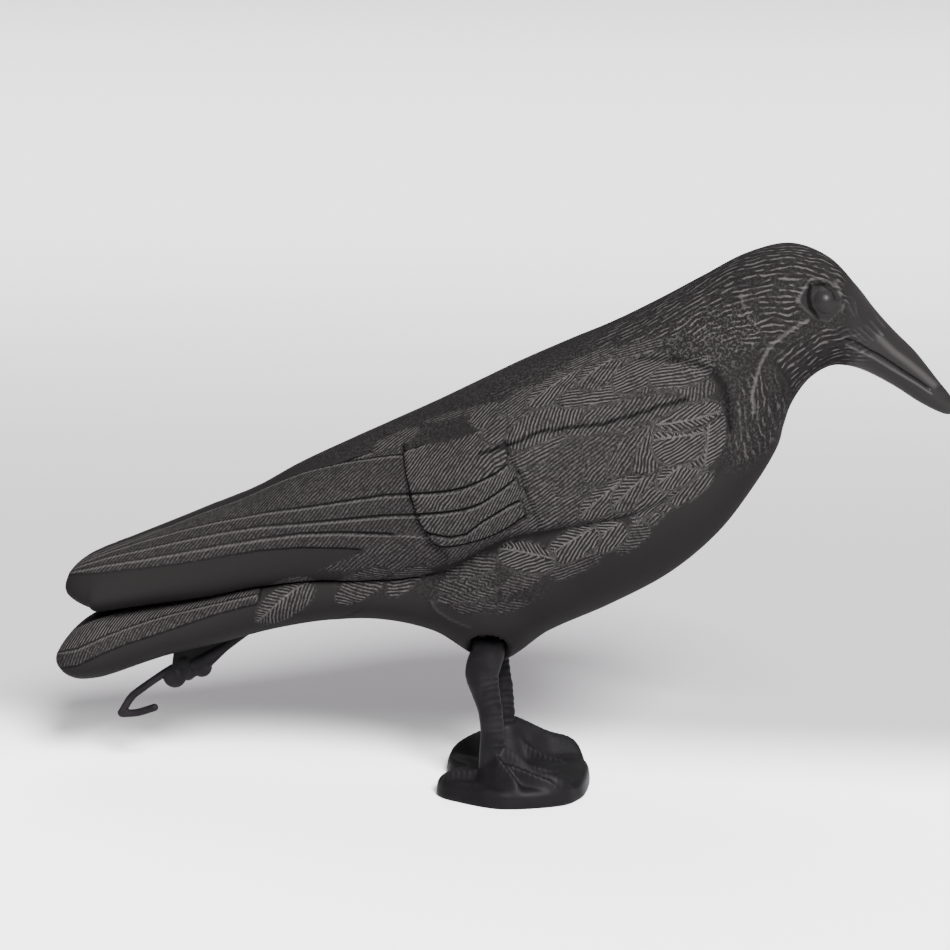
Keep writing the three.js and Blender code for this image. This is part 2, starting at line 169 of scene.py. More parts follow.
def blend_rows(rows, u):
    """Catmull-Rom: at place u between rows i and i+1, the cubic through rows i-1 to i+2."""
    last = len(rows) - 1
    i = np.minimum(np.floor(u).astype(int), last - 1)
    t = (u - i)[:, None]
    before, here = rows[np.clip(i - 1, 0, last)], rows[i]
    there, after = rows[i + 1], rows[np.clip(i + 2, 0, last)]
    return 0.5 * (
        2 * here
        + (there - before) * t
        + (2 * before - 5 * here + 4 * there - after) * t**2
        + (3 * here - before - 3 * there + after) * t**3
    )


def chord_points(start, end, share, y):
    """Points at a share of the way from start to end in x and z, and at half width y."""
    xz = start[:, None, :] + share[:, :, None] * (end - start)[:, None, :]
    return np.stack([xz[..., 0], y, xz[..., 1]], axis=-1)


def half_sections(u):
    """Lower and upper parts of the half sections at u. Quarter ellipses give the share as
    low(1-cos), then low+(1-low)sin, and the width as flank sin, then crease+(flank-crease)cos."""
    p = blend_rows(ROWS, u)
    forked = (u >= FORK_AT)[:, None]
    middle = (p[:, 2:4] + p[:, 4:6]) / 2
    under = np.where(forked, p[:, 2:4], middle)
    over = np.where(forked, p[:, 4:6], middle)
    low, high = p[:, 8:9], p[:, 9:10]
    flank, crease, wing = np.maximum(p[:, 10:11], 0), p[:, 11:12], np.maximum(p[:, 12:13], 0)
    crease = np.where(forked, 0, np.maximum(crease, 0))
    angle = np.linspace(0, math.pi / 2, ARC_STEPS + 1)[None, :]
    s, c = np.sin(angle), np.cos(angle)
    share = np.hstack([low * (1 - c), (low + (1 - low) * s)[:, 1:]])
    width = np.hstack([flank * s, (crease + (flank - crease) * c)[:, 1:]])
    lower = chord_points(p[:, 0:2], under, share, width)
    share = np.hstack([high * (1 - c), (high + (1 - high) * s)[:, 1:]])
    width = np.hstack([crease + (wing - crease) * s, (wing * c)[:, 1:]])
    upper = chord_points(over, p[:, 6:8], share, width)
    return lower, upper


def running_length(points):
    """Length along each row of points, from its first point."""
    steps = np.linalg.norm(np.diff(points, axis=1), axis=2)
    return np.hstack([np.zeros((len(points), 1)), np.cumsum(steps, axis=1)])


def spread(values, length, shares):
    """Values read off each row at shares of its whole length, straight between points."""
    wanted = length[:, -1:] * shares[None, :]
    below = (length[:, None, :-1] <= wanted[:, :, None]).sum(axis=2) - 1
    below = np.clip(below, 0, length.shape[1] - 2)
    row = np.arange(len(length))[:, None]
    gap = np.maximum(length[row, below + 1] - length[row, below], 1e-9)
    t = ((wanted - length[row, below]) / gap)[..., None]
    return values[row, below] * (1 - t) + values[row, below + 1] * t


# %% [markdown]
# The sections are spaced so that the mesh is finest on the head, where the eye
# and the beak's lines are small. One station falls exactly on the fork, so that
# tail and wing tips part at a single point.

# %% Stations along the body
STATIONS = 400
HEAD_FINENESS = 1.7
HEAD_STARTS_X = 85.0


def choose_stations():
    """Places u at even steps of weighted length along the middle of the side."""
    fine = np.linspace(0, len(ROWS) - 1, 1400)
    lower, upper = half_sections(fine)
    path = np.concatenate([lower[:, ::16], upper[:, ::16]], axis=1)
    step = np.linalg.norm(np.diff(path, axis=0), axis=2).mean(axis=1)
    weight = np.where(path[1:, :, 0].mean(axis=1) > HEAD_STARTS_X, HEAD_FINENESS, 1.0)
    run = np.concatenate([[0], np.cumsum(step * weight)])
    u = np.interp(np.linspace(0, run[-1], STATIONS), run, fine)
    u[np.abs(u - FORK_AT).argmin()] = FORK_AT
    return u, run[-1]


stations, run_length = choose_stations()
print("stations:", len(stations), "about", round(run_length / STATIONS, 2), "mm apart")

# %% [markdown]
# Feathers are laid out on a flat chart of the bird's side, as a carver would draw
# them on paper first. Across the chart runs x, and up it runs q: the height of the
# widest point of the wing, plus the length along the skin from there. A point on
# the skin has the same chart place whatever relief is cut into it.

# %% Chart of one side
NEAR_COLUMNS = {"lower": 54, "upper": 86}
FAR_COLUMNS = {"lower": 42, "upper": 66}
FOLD_RAMP_X = (-20.0, -60.0)


def ramp(value, start, end):
    """0 before start, 1 after end, and the smooth cubic 3t2-2t3 between them."""
    t = np.clip((value - start) / (end - start), 0, 1)
    return t * t * (3 - 2 * t)


def half_grid(u, columns):
    """Grid of skin points at y >= 0 with its chart height q, for lower and upper part."""
    lower, upper = half_sections(u)
    low_run, up_run = running_length(lower), running_length(upper)
    low_share = np.linspace(0, 1, columns["lower"] + 1)
    up_share = np.linspace(0, 1, columns["upper"] + 1)
    widest = ARC_STEPS
    up_q = upper[:, widest, 2:3] + up_run - up_run[:, widest : widest + 1]
    low_q = up_q[:, :1] + low_run - low_run[:, -1:]
    fold = (low_run[:, -1] - low_run[:, widest]) + up_run[:, widest]
    fold = fold - (upper[:, widest, 2] - lower[:, widest, 2])
    tail = ramp(lower[:, widest, 0], *FOLD_RAMP_X)
    low_q = low_q + (fold * tail)[:, None]
    parts = []
    for points, q, run, share in ((lower, low_q, low_run, low_share), (upper, up_q, up_run, up_share)):
        parts.append(spread(np.dstack([points, q]), run, share))
    return parts


lower_part, upper_part = half_grid(stations, NEAR_COLUMNS)
print("near side grid:", lower_part.shape[:2], "and", upper_part.shape[:2])

# %% [markdown]
# The large relief comes before the feathers. The folded wing stands out from the
# flank along one curved edge, its covert rows step down towards the tail like roof
# tiles, and the thigh swells under it. All of it fades out towards the mould's
# parting plane, because a mould half can't hold an undercut there.

# %% Wing, covert rows and thigh
WING_EDGE = np.array([
    [-22, 109], [1, 122], [28, 130], [55, 136], [76, 146], [91, 155],
    [96, 167], [93, 181], [84, 194], [66, 201], [30, 203],
], float)
WING_STEP = 2.8
WING_STEP_RUN = 5.0
# Share of the step at places along x
WING_STEP_SHARE = ([-30, 0, 22, 55, 85], [0, 1, 0.4, 0.4, 1])
COVERT_STEP = 2.0
COVERT_FRONT_X = 98.0
# Tips of each covert row as x at chart heights q, from the tail forwards
COVERT_TIPS = [
    ([116, 122, 130, 141, 152, 162, 176], [-22, -28, -33, -37, -40, -42, -42]),
    ([134, 138, 145, 152, 158, 163, 176], [18, 16, 13.5, 11, 8, 5, 4]),
    ([130, 200], [58, 58]),
]
COVERT_TIP_RUN = (1.0, 1.0, 16.0)
COVERT_TOP_Q = (163.0, 180.0)
FLIGHT_SINK = 1.1
THIGH = {"x": 2.0, "z": 92.0, "length": 34.0, "height": 24.0, "rise": 3.2, "slope": (0.35, 1.1)}
PLANE_FADE = (2.0, 14.0)


def polyline_distance(px, pz, line):
    """Distance to a polyline, and which side of its nearest piece, +1 on its left."""
    best = np.full(px.shape, 1e9)
    side = np.ones(px.shape)
    for a, b in zip(line[:-1], line[1:]):
        ux, uz = b - a
        tx, tz = px - a[0], pz - a[1]
        t = np.clip((tx * ux + tz * uz) / (ux * ux + uz * uz), 0, 1)
        away = np.hypot(tx - t * ux, tz - t * uz)
        nearer = away < best
        best = np.where(nearer, away, best)
        side = np.where(nearer, np.sign(ux * tz - uz * tx), side)
    return best, side


def large_relief(x, z, q, y):
    """Rise of the wing step, the covert rows and the thigh, as a sum of smooth ramps."""
    edge = blend_rows(WING_EDGE, np.linspace(0, len(WING_EDGE) - 1, 61))
    away, side = polyline_distance(x, z, edge)
    wing = ramp(away * side, -WING_STEP_RUN / 2, WING_STEP_RUN / 2)
    rise = WING_STEP * wing * np.interp(x, *WING_STEP_SHARE)
    coverts = 1 - ramp(q, *COVERT_TOP_Q)
    roots = COVERT_TIPS[1:] + [([130, 200], [COVERT_FRONT_X] * 2)]
    for i, (tips, root) in enumerate(zip(COVERT_TIPS, roots)):
        tip_x = np.interp(q, *tips)
        root_x = np.interp(q, *root)
        step = COVERT_STEP * wing * np.clip((root_x - x) / (root_x - tip_x), 0, 1)
        held = coverts if i < 2 else 1.0
        run = COVERT_TIP_RUN[i]
        rise = rise + step * held * ramp(x, tip_x - run / 2, tip_x + run / 2)
    rise = rise - FLIGHT_SINK * (x < np.interp(q, *COVERT_TIPS[0])) * coverts * wing / 2
    reach = np.hypot((x - THIGH["x"]) / THIGH["length"], (z - THIGH["z"]) / THIGH["height"])
    rise = rise + THIGH["rise"] * (1 - ramp(reach, *THIGH["slope"])) * (1 - wing)
    return rise * ramp(y, *PLANE_FADE)


# %% [markdown]
# Now the feathers, painted one over another from tail to head: a later feather
# hides what lies under it, exactly as real ones overlap. Each one leaves four
# things at every chart point it covers: how high it stands, how far the nearest
# visible edge is, where the point lies across its barbs, and how far it is from
# its shaft. Heights shape the mesh, and the other three drive the finer grooves
# in the material, which would need millions of faces as geometry.

# %% A feather's own shape
LEAF_ROUND = 2.6
EDGE_REACH = 4.0
BARB_PITCH = 1.5
BARB_SKEW = 10.0
GROUND_SLOPE = 39.0
LEAF_CUT = 0.05
LEAF_SPREAD = 1.3
LEAF_VANE = 0.25
LEAF_RISE = 0.4


def leaf_frame(x, q, root, tip, bow):
    """Along and across a feather's bowed axis: across loses bow*4t(1-t) at share t."""
    length = math.hypot(tip[0] - root[0], tip[1] - root[1])
    ux, uq = (tip[0] - root[0]) / length, (tip[1] - root[1]) / length
    along = (x - root[0]) * ux + (q - root[1]) * uq
    share = along / length
    across = (x - root[0]) * uq - (q - root[1]) * ux - bow * 4 * share * (1 - share)
    return along, across, share, length


def leaf_inside(across, share, length, half):
    """Distance inside the outline |2t-1|^n + (across/half)^2 = 1, as value over slope."""
    end = np.abs(2 * share - 1)
    value = 1 - end**LEAF_ROUND - (across / half) ** 2
    slope = np.hypot(LEAF_ROUND * end ** (LEAF_ROUND - 1) * 2 / length, 2 * across / half**2)
    return np.clip(value / np.maximum(slope, 0.5 / half), -EDGE_REACH, EDGE_REACH)


def new_canvas(x, q):
    """A blank chart: no feather, no edge near, flat height, no barbs, no shaft."""
    blank = {name: np.zeros(x.shape) for name in ("owner", "height", "barb", "barbed")}
    blank["edge"] = np.full(x.shape, EDGE_REACH)
    blank["shaft"] = np.full(x.shape, EDGE_REACH)
    blank["cut"] = np.zeros(x.shape)
    return {**blank, "x": x, "q": q, "count": 0}


def paint(canvas, inside, **layers):
    """Lays a feather down: inside its edge its own values win, outside only its edge shows."""
    canvas["count"] += 1
    covered = inside > 0
    cut = layers.pop("cut")
    canvas["cut"] = np.where(covered | (np.abs(inside) < canvas["edge"]), cut, canvas["cut"])
    layers["owner"] = canvas["count"]
    layers["edge"] = inside
    canvas["edge"] = np.minimum(canvas["edge"], np.abs(inside))
    for name, value in layers.items():
        canvas[name] = np.where(covered, value, canvas[name])


def slope_barbs(x, q, slope, middle_x=0.0, middle_q=0.0):
    """Straight barbs (q*cos - x*sin) at a slope, turned about a middle on the ground barbs."""
    turn, ground = math.radians(slope), math.radians(GROUND_SLOPE)
    barb = (q - middle_q) * math.cos(turn) - (x - middle_x) * math.sin(turn)
    return barb + middle_q * math.cos(ground) - middle_x * math.sin(ground)


def paint_leaf(canvas, row):
    """One leaf-shaped feather. Barb number is (along*sin - |off shaft|*cos) / pitch, where
    the angle is a little wider above the shaft than below it. A feather whose shaft is hidden
    has all its barbs at one slope: (q*cos - x*sin) / pitch. Both are shifted to agree with
    the plain ground barbs at the feather's middle, so that strokes meet at its edges."""
    x0, q0, x1, q1, half, bow, angle, barbed, vane, lift = row
    half = half * LEAF_SPREAD
    x, q = canvas["x"], canvas["q"]
    along, across, share, length = leaf_frame(x, q, (x0, q0), (x1, q1), bow)
    inside = leaf_inside(across, share, length, half)
    if vane is None:
        barb = slope_barbs(x, q, angle, (x0 + x1) / 2, (q0 + q1) / 2)
        off_shaft = np.full(x.shape, EDGE_REACH)
    else:
        off_shaft = across - (vane or LEAF_VANE) * half
        turn = np.radians(angle + BARB_SKEW * np.sign(off_shaft))
        barb = (along - length / 2) * np.sin(turn) - np.abs(off_shaft) * np.cos(turn)
        barb = barb + slope_barbs((x0 + x1) / 2, (q0 + q1) / 2, GROUND_SLOPE)
    height = LEAF_RISE * lift * (0.2 + 0.8 * np.clip(share, 0, 1) - 0.25 * (across / half) ** 2)
    barb = barb / BARB_PITCH
    paint(canvas, inside, height=height, barb=barb, barbed=barbed, shaft=off_shaft, cut=LEAF_CUT)


# %% [markdown]
# The long feathers of the folded wing and the tail are bands between grooves
# that run nearly the whole length of the bird. Each groove is a row of chart
# heights at fixed places along x, and a band's shaft lies just under its upper
# groove, so its barbs fall away towards the tail from there.

# %% Bands of long feathers
BAND_SHAFT = 1.3


def paint_bands(canvas, knots, lines, ends, angle, barbed, lift, cut=1.0):
    """Bands between lines q(x), top first, cut off at the end lines x(q)."""
    x, q = canvas["x"], canvas["q"]
    levels = [np.interp(x, knots, line) for line in lines]
    rear, front = (np.interp(q, *end) for end in ends)
    ends_inside = np.minimum(x - rear, front - x)
    turn = math.radians(angle)
    for top, bottom, strength in zip(levels[:-1], levels[1:], barbed):
        depth = top - q
        width = np.maximum(top - bottom, 0.5)
        inside = np.minimum(np.minimum(depth, q - bottom), ends_inside)
        inside = np.clip(inside, -EDGE_REACH, EDGE_REACH)
        barb = (-x * math.sin(turn) - depth * math.cos(turn)) / BARB_PITCH
        height = lift * (1 - 0.7 * np.clip(depth / width, 0, 1))
        shaft = depth - BAND_SHAFT
        paint(canvas, inside, height=height, barb=barb, barbed=strength, shaft=shaft, cut=cut)


NO_END = ([100, 200], [-400, -400])
FLIGHT_KNOTS = [-200, -178, -160, -142, -123, -105, -87, -69, -49, -36, -22]
FLIGHT_LINES = [
    [101, 117, 124, 130, 136, 143, 150, 158, 166, 171, 175],
    [99, 113, 121, 130, 138, 146, 153, 157, 160, 161, 162],
    [97, 110, 116, 121, 125.5, 129, 132, 136, 140.5, 142, 143],
    [95.5, 106, 110, 114.5, 119, 122.5, 125, 128, 131.5, 133, 134],
    [94, 101.5, 104.5, 108.5, 113, 117, 120.5, 122.5, 123.5, 123.5, 123],
    [92.5, 97.2, 99.8, 103, 107.5, 111.5, 114, 115, 115, 114.5, 113],
]
FLIGHT_FRONT = ([90, 116, 122, 130, 141, 152, 162, 176], [-22, -22, -28, -33, -37, -40, -42, -46])
TAIL_KNOTS = [-203, -190, -178, -168, -157, -145, -128, -115, -104]
TAIL_LINES = [
    [70, 76, 82, 88, 92, 96, 100, 104, 108],
    [58, 62, 68.5, 73, 77.5, 81.5, 86, 89, 92],
    [50, 54, 60.5, 65, 69, 73.5, 80, 84, 87],
]
COVERT_KNOTS = [-45, -36, -28, -20, -13, -6, 0, 5, 10, 14, 20]
COVERT_LINES = [
    [162, 165, 168.5, 171, 173, 174, 173, 170, 167, 165, 164],
    [142.5, 142.5, 143.5, 145, 147, 150.5, 154, 158, 161, 163, 165],
    [133.5, 133.5, 134.5, 136, 137.5, 140.5, 145, 149, 153.5, 156, 159],
    [128.5, 128, 125.5, 124.3, 126, 132, 136, 139.5, 142, 144, 147],
    [122, 121, 119.5, 119.5, 121, 123, 125.8, 129, 133, 136, 139],
]
FOLD_KNOTS = [-45, -22, 1, 28, 55, 76]
FOLD_LINES = [[124, 124, 132, 140, 145, 150], [103, 108, 120, 128, 134, 144]]
FOLD_ENDS = (([103, 124], [-80, -42]), ([100, 200], [74, 74]))
COVERT_REAR = ([112, 122, 130, 141, 152, 162, 176], [-20, -28, -33, -37, -40, -42, -42])
COVERT_FRONT = ([130, 138, 145, 152, 158, 163, 176], [19, 16, 13.5, 11, 8, 5, 0])


# %% [markdown]
# The shorter feathers are leaves. Each row below gives root x q, tip x q, half
# width, bow, barb angle, barb strength, shaft place across the feather, and lift.
# Rows run from the tail forwards, the order in which they are painted.

# %% Leaf feathers
GROUND_REAR = ([112, 117, 125, 134, 160, 176, 190, 205, 212], [60, 30, 5, 10, 5, -14, 0, 30, 60])
GROUND_FRONT = ([112, 120, 130, 140, 150, 165, 180, 192, 212], [60, 50, 72, 82, 88, 92, 90, 84, 60])
RUMP = [
    (-83, 97, -108, 74, 6, 1.3, 45, 0.8, 0, 0.7),
    (-48, 105, -73, 88, 4.5, 0.9, -14, 0.7, None, 0.6),
    (-29, 106, -50, 92, 4.5, 0.9, -8, 0.8, None, 0.6),
]
THIGH_LEAVES = [
    (13, 88, -2, 83, 3, 0.4, -14, 0.4, None, 0.3),
    (-1, 88, -21, 82, 3, 0.4, -12, 0.4, None, 0.3),
    (17, 103, 0, 92, 3.5, 0.4, -10, 0.5, None, 0.3),
    (-1, 95, -28, 86, 3.5, 0.4, -15, 0.6, None, 0.4),
    (-1, 102, -28, 91, 4, 0.4, -10, 0.6, None, 0.5),
    (0, 108, -25, 98, 4, 0.4, 3, 0.7, None, 0.5),
]
FLANK = [
    (16, 129, 5, 121, 3.2, 0.4, 40, 0, 0, 0.5),
    (51, 138, 29, 124, 4, 0.4, 20, 0.9, 0, 0.5),
    (70, 136, 56, 126, 4, 0.4, 25, 0.9, 0, 0.5),
    (64, 127, 48, 114, 4, 0.4, 0, 0.7, None, 0.4),
    (44, 115, 21, 101, 4.5, 0.4, 25, 0.6, None, 0.4),
    (53, 128, 39, 116, 5.5, 0.4, 32, 1.2, 0, 0.6),
    (42, 125, 22, 110, 5.5, 0.4, 34, 1.3, 0, 0.6),
    (24, 108, -1, 111, 6, 0.9, 42, 1.3, 0, 0.8),
    (79, 143, 66, 134, 4, 0.4, 28, 0.9, 0, 0.5),
]
LESSER_COVERTS = [
    (38, 143, 13, 128, 4.5, 0.4, 36, 0.9, None, 0.6),
    (36, 155, 11, 138, 5, 0.4, 38, 0.8, None, 0.6),
    (36, 164, 9, 149, 4.5, 0.4, 37, 0.7, None, 0.6),
    (34, 170, 5, 158, 4, 0.4, 30, 0.8, None, 0.5),
    (51, 147, 26, 128, 4.5, 0.4, 40, 0.8, None, 0.5),
    (47, 164, 25, 145, 5, 0.4, 43, 0.6, None, 0.6),
    (46, 172, 22, 157, 4.5, 0.4, 38, 0.6, None, 0.5),
    (61, 156, 35, 132, 5, 0.4, 24, 1, 0, 0.6),
    (60, 168, 37, 149, 5, 0.4, 48, 0.7, None, 0.6),
    (60, 177, 35, 163, 5, 0.4, 40, 0.6, None, 0.5),
    (72, 160, 49, 136, 5.5, 0.4, 30, 1, 0, 0.6),
    (68, 177, 47, 153, 5, 0.4, 60, 0.8, None, 0.6),
    (74, 152, 58, 131, 4, 0.4, 48, 1.2, None, 0.6),
    (75, 180, 58, 153, 5, -0.4, 82, 1, None, 0.6),
    (89, 152, 71, 137, 4.5, 0.4, 30, 1.1, 0, 0.6),
    (88, 163, 67, 146, 5, 0.4, 32, 1.2, 0, 0.6),
    (83, 154, 85, 184, 7.5, 0.4, 45, 1.2, 0, 0.6),
    (86, 168, 64, 166, 8, 0, 38, 1.2, 0, 0.7),
    (71, 185, 50, 172, 3.5, 0.4, 46, 0.8, None, 0.5),
    (64, 177, 92, 181, 4.5, 0.9, 38, 1.1, 0, 0.6),
    (90, 189, 58, 190, 4.5, 1.3, 85, 0.7, None, 0.6),
    (76, 187, 26, 173, 5, 0, 56, 0.8, None, 0.6),
]
SCAPULARS = [
    (-36, 177, -58, 164, 4.2, 0.4, 50, 0.9, None, 0.4),
    (-4, 189, -36, 181, 2.6, 0.4, 24, 0.8, None, 0.4),
    (-3, 180, -39, 169, 4.4, 0.4, 30, 0, None, 0.3),
    (1, 189, -12, 176, 5.5, 0.4, 60, 1.1, None, 0.6),
    (8, 179, -6, 168, 4.5, 0.4, 50, 0.9, None, 0.5),
    (36, 186, 4, 166, 6, 0.9, 78, 1, None, 0.8),
    (18, 199, 0, 182, 5, 0.4, 45, 0.8, None, 0.6),
    (39, 209, 12, 185, 6, 0.9, 28, 1.2, 0, 0.9),
    (60, 194, 23, 187, 4.5, 0.4, 6, 1.1, None, 0.8),
    (53, 212, 33, 194, 6, 0.9, 30, 1, 0.3, 0.9),
    (70, 207, 47, 192, 6, 0.9, 26, 1.2, None, 0.9),
    (88, 199, 62, 195, 5, 0.9, 4, 1.1, None, 0.7),
    (47, 216, 24, 207, 3.5, 0.4, 28, 0.8, None, 0.5),
    (67, 214, 45, 211, 3.5, 0.4, 8, 0.7, None, 0.5),
]


def paint_ground(canvas):
    """Plain barbs under the coverts, so that no gap between the leaves is left smooth."""
    x, q = canvas["x"], canvas["q"]
    rear, front = np.interp(q, *GROUND_REAR), np.interp(q, *GROUND_FRONT)
    inside = np.clip(np.minimum(x - rear, front - x), -EDGE_REACH, EDGE_REACH)
    barb = slope_barbs(x, q, GROUND_SLOPE) / BARB_PITCH
    flat = 0 * x
    paint(canvas, inside, height=flat + 0.2, barb=barb, barbed=0.75, shaft=flat + 4, cut=0.0)


def paint_feathers(x, q, below_crease):
    """The whole plumage of one part of a side: tail and body, or wing and back."""
    canvas = new_canvas(x, q)
    if below_crease:
        tail_ends = (NO_END, ([0, 200], [-107, -107]))
        paint_bands(canvas, TAIL_KNOTS, TAIL_LINES, tail_ends, 60, (1.3, 0.5), 0.7, 0.6)
    else:
        flight_ends = (NO_END, FLIGHT_FRONT)
        strengths = (0.55, 0.5, 0.42, 0.42, 0.42)
        cut = 0.35 + 0.5 * ramp(x, -150, -50)
        paint_bands(canvas, FLIGHT_KNOTS, FLIGHT_LINES, flight_ends, 48, strengths, 0.8, cut)
    paint_bands(canvas, FOLD_KNOTS, FOLD_LINES, FOLD_ENDS, 45, (0.5,), 0.3, 0.0)
    for row in RUMP + THIGH_LEAVES + FLANK:
        paint_leaf(canvas, row)
    if not below_crease:
        paint_ground(canvas)
        covert_ends = (COVERT_REAR, COVERT_FRONT)
        strengths = (0.9, 0.9, 0.9, 0.8)
        paint_bands(canvas, COVERT_KNOTS, COVERT_LINES, covert_ends, 52, strengths, 1.0)
    for row in LESSER_COVERTS + SCAPULARS:
        paint_leaf(canvas, row)
    return canvas


# %% [markdown]
# The head carries the finest marks: the eye in its rim, the bristles over the
# nostril, the gape line along the beak and the ridge round the cheek. Each mark
# is a line on the chart with a rounded ridge or groove along it. The eye is a
# ball, and the skin takes whichever is further out, the socket or the ball.

# %% Marks on the head and body
EYE = {"x": 132.2, "y": 17.7, "z": 221.6, "radius": 6.4}
EYE_SOCKET = {"radius": 7.2, "depth": 0.6}
# Groove between the scapulars and the coverts, painted dark as shade, as x q
SCAPULAR_LINE = [(-8, 162), (3, 166), (18, 173), (32, 175), (43, 176), (59, 181), (67, 184), (78, 186)]
# Height (minus is a groove, painted dark as shade; plus is a ridge, painted light as highlight), half width, then x
# q along the line
MARKS = [
    (0.8, 1.1, [(126, 214.5), (121, 212), (114, 207), (110, 203), (107, 197), (105, 190), (104, 184),
                (105, 176)]),
    (0.6, 1.1, [(98, 227), (99, 223), (101, 218), (105, 213)]),
    (0.5, 1.0, [(98, 227), (103, 225), (107, 223)]),
    (-0.9, 0.7, [(127, 231), (126.1, 225), (127, 220), (130.3, 215.5)]),
    (0.7, 1.0, [(121.5, 223), (124, 228), (127, 232)]),
    (0.5, 1.0, [(121.5, 223), (125, 219), (129, 216)]),
    (0.5, 1.0, [(127, 232), (131, 233), (136, 231), (139, 226)]),
    (0.4, 1.0, [(139, 226), (139, 219), (135, 214), (130, 215)]),
    (-0.6, 0.7, [(129, 230), (132, 230.5), (136, 228), (137.5, 224)]),
    (-0.5, 0.7, [(142, 205.5), (146, 204), (151, 200.5), (156, 198), (162, 194), (167, 190.5),
                 (172, 187.5), (177, 184)]),
    (0.7, 0.9, [(142, 203), (148, 199.5), (154, 196.5), (161, 192), (167, 188.5), (172, 185.5),
                (178, 181.5)]),
    (0.6, 2.4, [(156, 206), (162, 200), (168, 195.5), (174, 190.5), (179, 186)]),
]
# Hollow in front of the folded wing, from the back round the shoulder, painted dark as shade, as x q
SHOULDER_LINE = [(58, 208), (70, 205.5), (80, 202), (87, 197.5), (92, 190.5), (95, 182), (96, 170)]
WING_LINES = [
    (-0.8, 0.9, SCAPULAR_LINE),
    (-0.5, 2.0, SHOULDER_LINE),
    (0.5, 1.2, [(-30.5, 87), (-28, 82), (-22, 77.5), (-13.5, 74)]),
]
# Bristles over the nostril, before the eye and on the brow: x q of both ends
BRISTLES = [
    (143, 209, 148, 205), (145, 210, 150, 205), (147, 211, 153, 205), (150, 212, 155, 207),
    (152, 214, 157, 208), (154, 217, 158, 212), (141, 224, 140, 218), (142, 223, 145, 216),
    (145, 224, 146, 217), (137, 238, 141, 234), (136, 236, 140, 231), (136, 233, 139, 228),
]
BRISTLE = (0.45, 0.55)
MARK_FADE = (0.4, 2.5)
# Streaks: centre x q, reach in x and q, strength
STREAKS = [
    (112, 232, 30, 36, 1.0), (82, 230, 30, 20, 1.0), (58, 226, 26, 16, 0.9), (20, 205, 60, 12, 0.3),
]
CHIN = (152.0, 160.0, 57.0)
THROAT = (124, 194, 28, 22, 0.9)
BREAST_SIDE = (107, 172, 12, 24, 0.6)
EYE_CLEAR = (131.0, 222.0, 10.0)
STREAK_PITCH = 2.5
SCRATCHES = [
    (86, 210, 24, 17, 1.0), (112, 222, 32, 26, 0.4), (0, 210, 90, 26, 0.6), (-70, 182, 60, 24, 0.6),
    (104, 173, 16, 30, 0.5), (60, 230, 40, 22, 0.5), (-9, 94, 30, 13, 0.4), (-50, 100, 30, 8, 0.3),
]
FEATHER_SCRATCHES = 0.8
LEG_ROOT = {"x": -7.6, "y": 24.0, "reach": (8.0, 12.0), "roof": 78.0}


def marks_relief(x, q):
    """Sum of height*exp(-(distance/width)^2) over all marks and bristles."""
    rise = np.zeros(x.shape)
    strokes = [(*BRISTLE, [(x0, q0), (x1, q1)]) for x0, q0, x1, q1 in BRISTLES]
    for height, width, line in MARKS + WING_LINES + strokes:
        away, _ = polyline_distance(x, q, np.array(line, float))
        rise = rise + height * np.exp(-((away / width) ** 2))
    return rise


def patch(x, q, spot):
    """Strength inside an oval, 1 in its middle and falling off smoothly past its edge."""
    x0, q0, reach_x, reach_q, strength = spot
    return strength * (1 - ramp(np.hypot((x - x0) / reach_x, (q - q0) / reach_q), 0.7, 1.15))


def streak_field(x, q):
    """Along and across the fine streaks of head and neck, and how strong they are. Across is
    the distance round the head's middle, a slanted height on the neck, the distance from the
    chin on the throat, and x beside the breast."""
    crown = np.hypot((x - 112) * 0.75, q - 195) + 195
    neck = 0.92 * q - 0.38 * (x - 95) + 17.2
    on_head = ramp(x, 84, 104)
    crown = q + (crown - q) * ramp(q, 206, 218)
    across = crown * on_head + neck * (1 - on_head)
    along = x * 1.0
    strength = np.max([patch(x, q, spot) for spot in STREAKS], axis=0)
    strength = strength * ramp(np.hypot(x - EYE_CLEAR[0], q - EYE_CLEAR[1]), 7.5, EYE_CLEAR[2])
    chin = np.hypot(x - CHIN[0], q - CHIN[1])
    inside = chin < CHIN[2]
    border = ramp(np.abs(chin - CHIN[2]), 0.8, 2.5)
    across = np.where(inside, chin, across)
    along = np.where(inside, np.arctan2(q - CHIN[1], CHIN[0] - x) * CHIN[2], along)
    strength = np.where(inside, patch(x, q, THROAT), strength) * border
    beside = patch(x, q, BREAST_SIDE)
    across = np.where(beside > 0, x + 0.15 * q, across)
    along = np.where(beside > 0, q, along)
    strength = np.where(beside > 0, beside, strength)
    return np.dstack([along, across / STREAK_PITCH, strength])


def eye_shape(x, y, z):
    """Skin lowered round the eye, then whichever is further out: skin or ball."""
    away = np.hypot(x - EYE["x"], z - EYE["z"])
    y = y - EYE_SOCKET["depth"] * (1 - ramp(away, 0.4 * EYE_SOCKET["radius"], EYE_SOCKET["radius"]))
    ball = EYE["radius"] ** 2 - away**2
    return np.where(ball > 0, np.maximum(y, EYE["y"] + np.sqrt(np.maximum(ball, 0))), y)


def leg_recess(x, y, z):
    """Skin raised round the top of each leg to a flat roof that the leg runs up to."""
    reach_x, reach_y = LEG_ROOT["reach"]
    near = np.hypot((x - LEG_ROOT["x"]) / reach_x, (y - LEG_ROOT["y"]) / reach_y)
    lift = 1 - ramp(near, 0.93, 1.08)
    return np.where(z < LEG_ROOT["roof"], z + (LEG_ROOT["roof"] - z) * lift, z)


# %% [markdown]
# Heights from the feathers are laid along the skin's normal. On the parting plane
# they fade to nothing, so that the two halves meet exactly. Then the four grids,
# two parts on each side, become one mesh: points in the same place are merged,
# and each merged pole leaves triangles where the quads close up.

# %% Body mesh


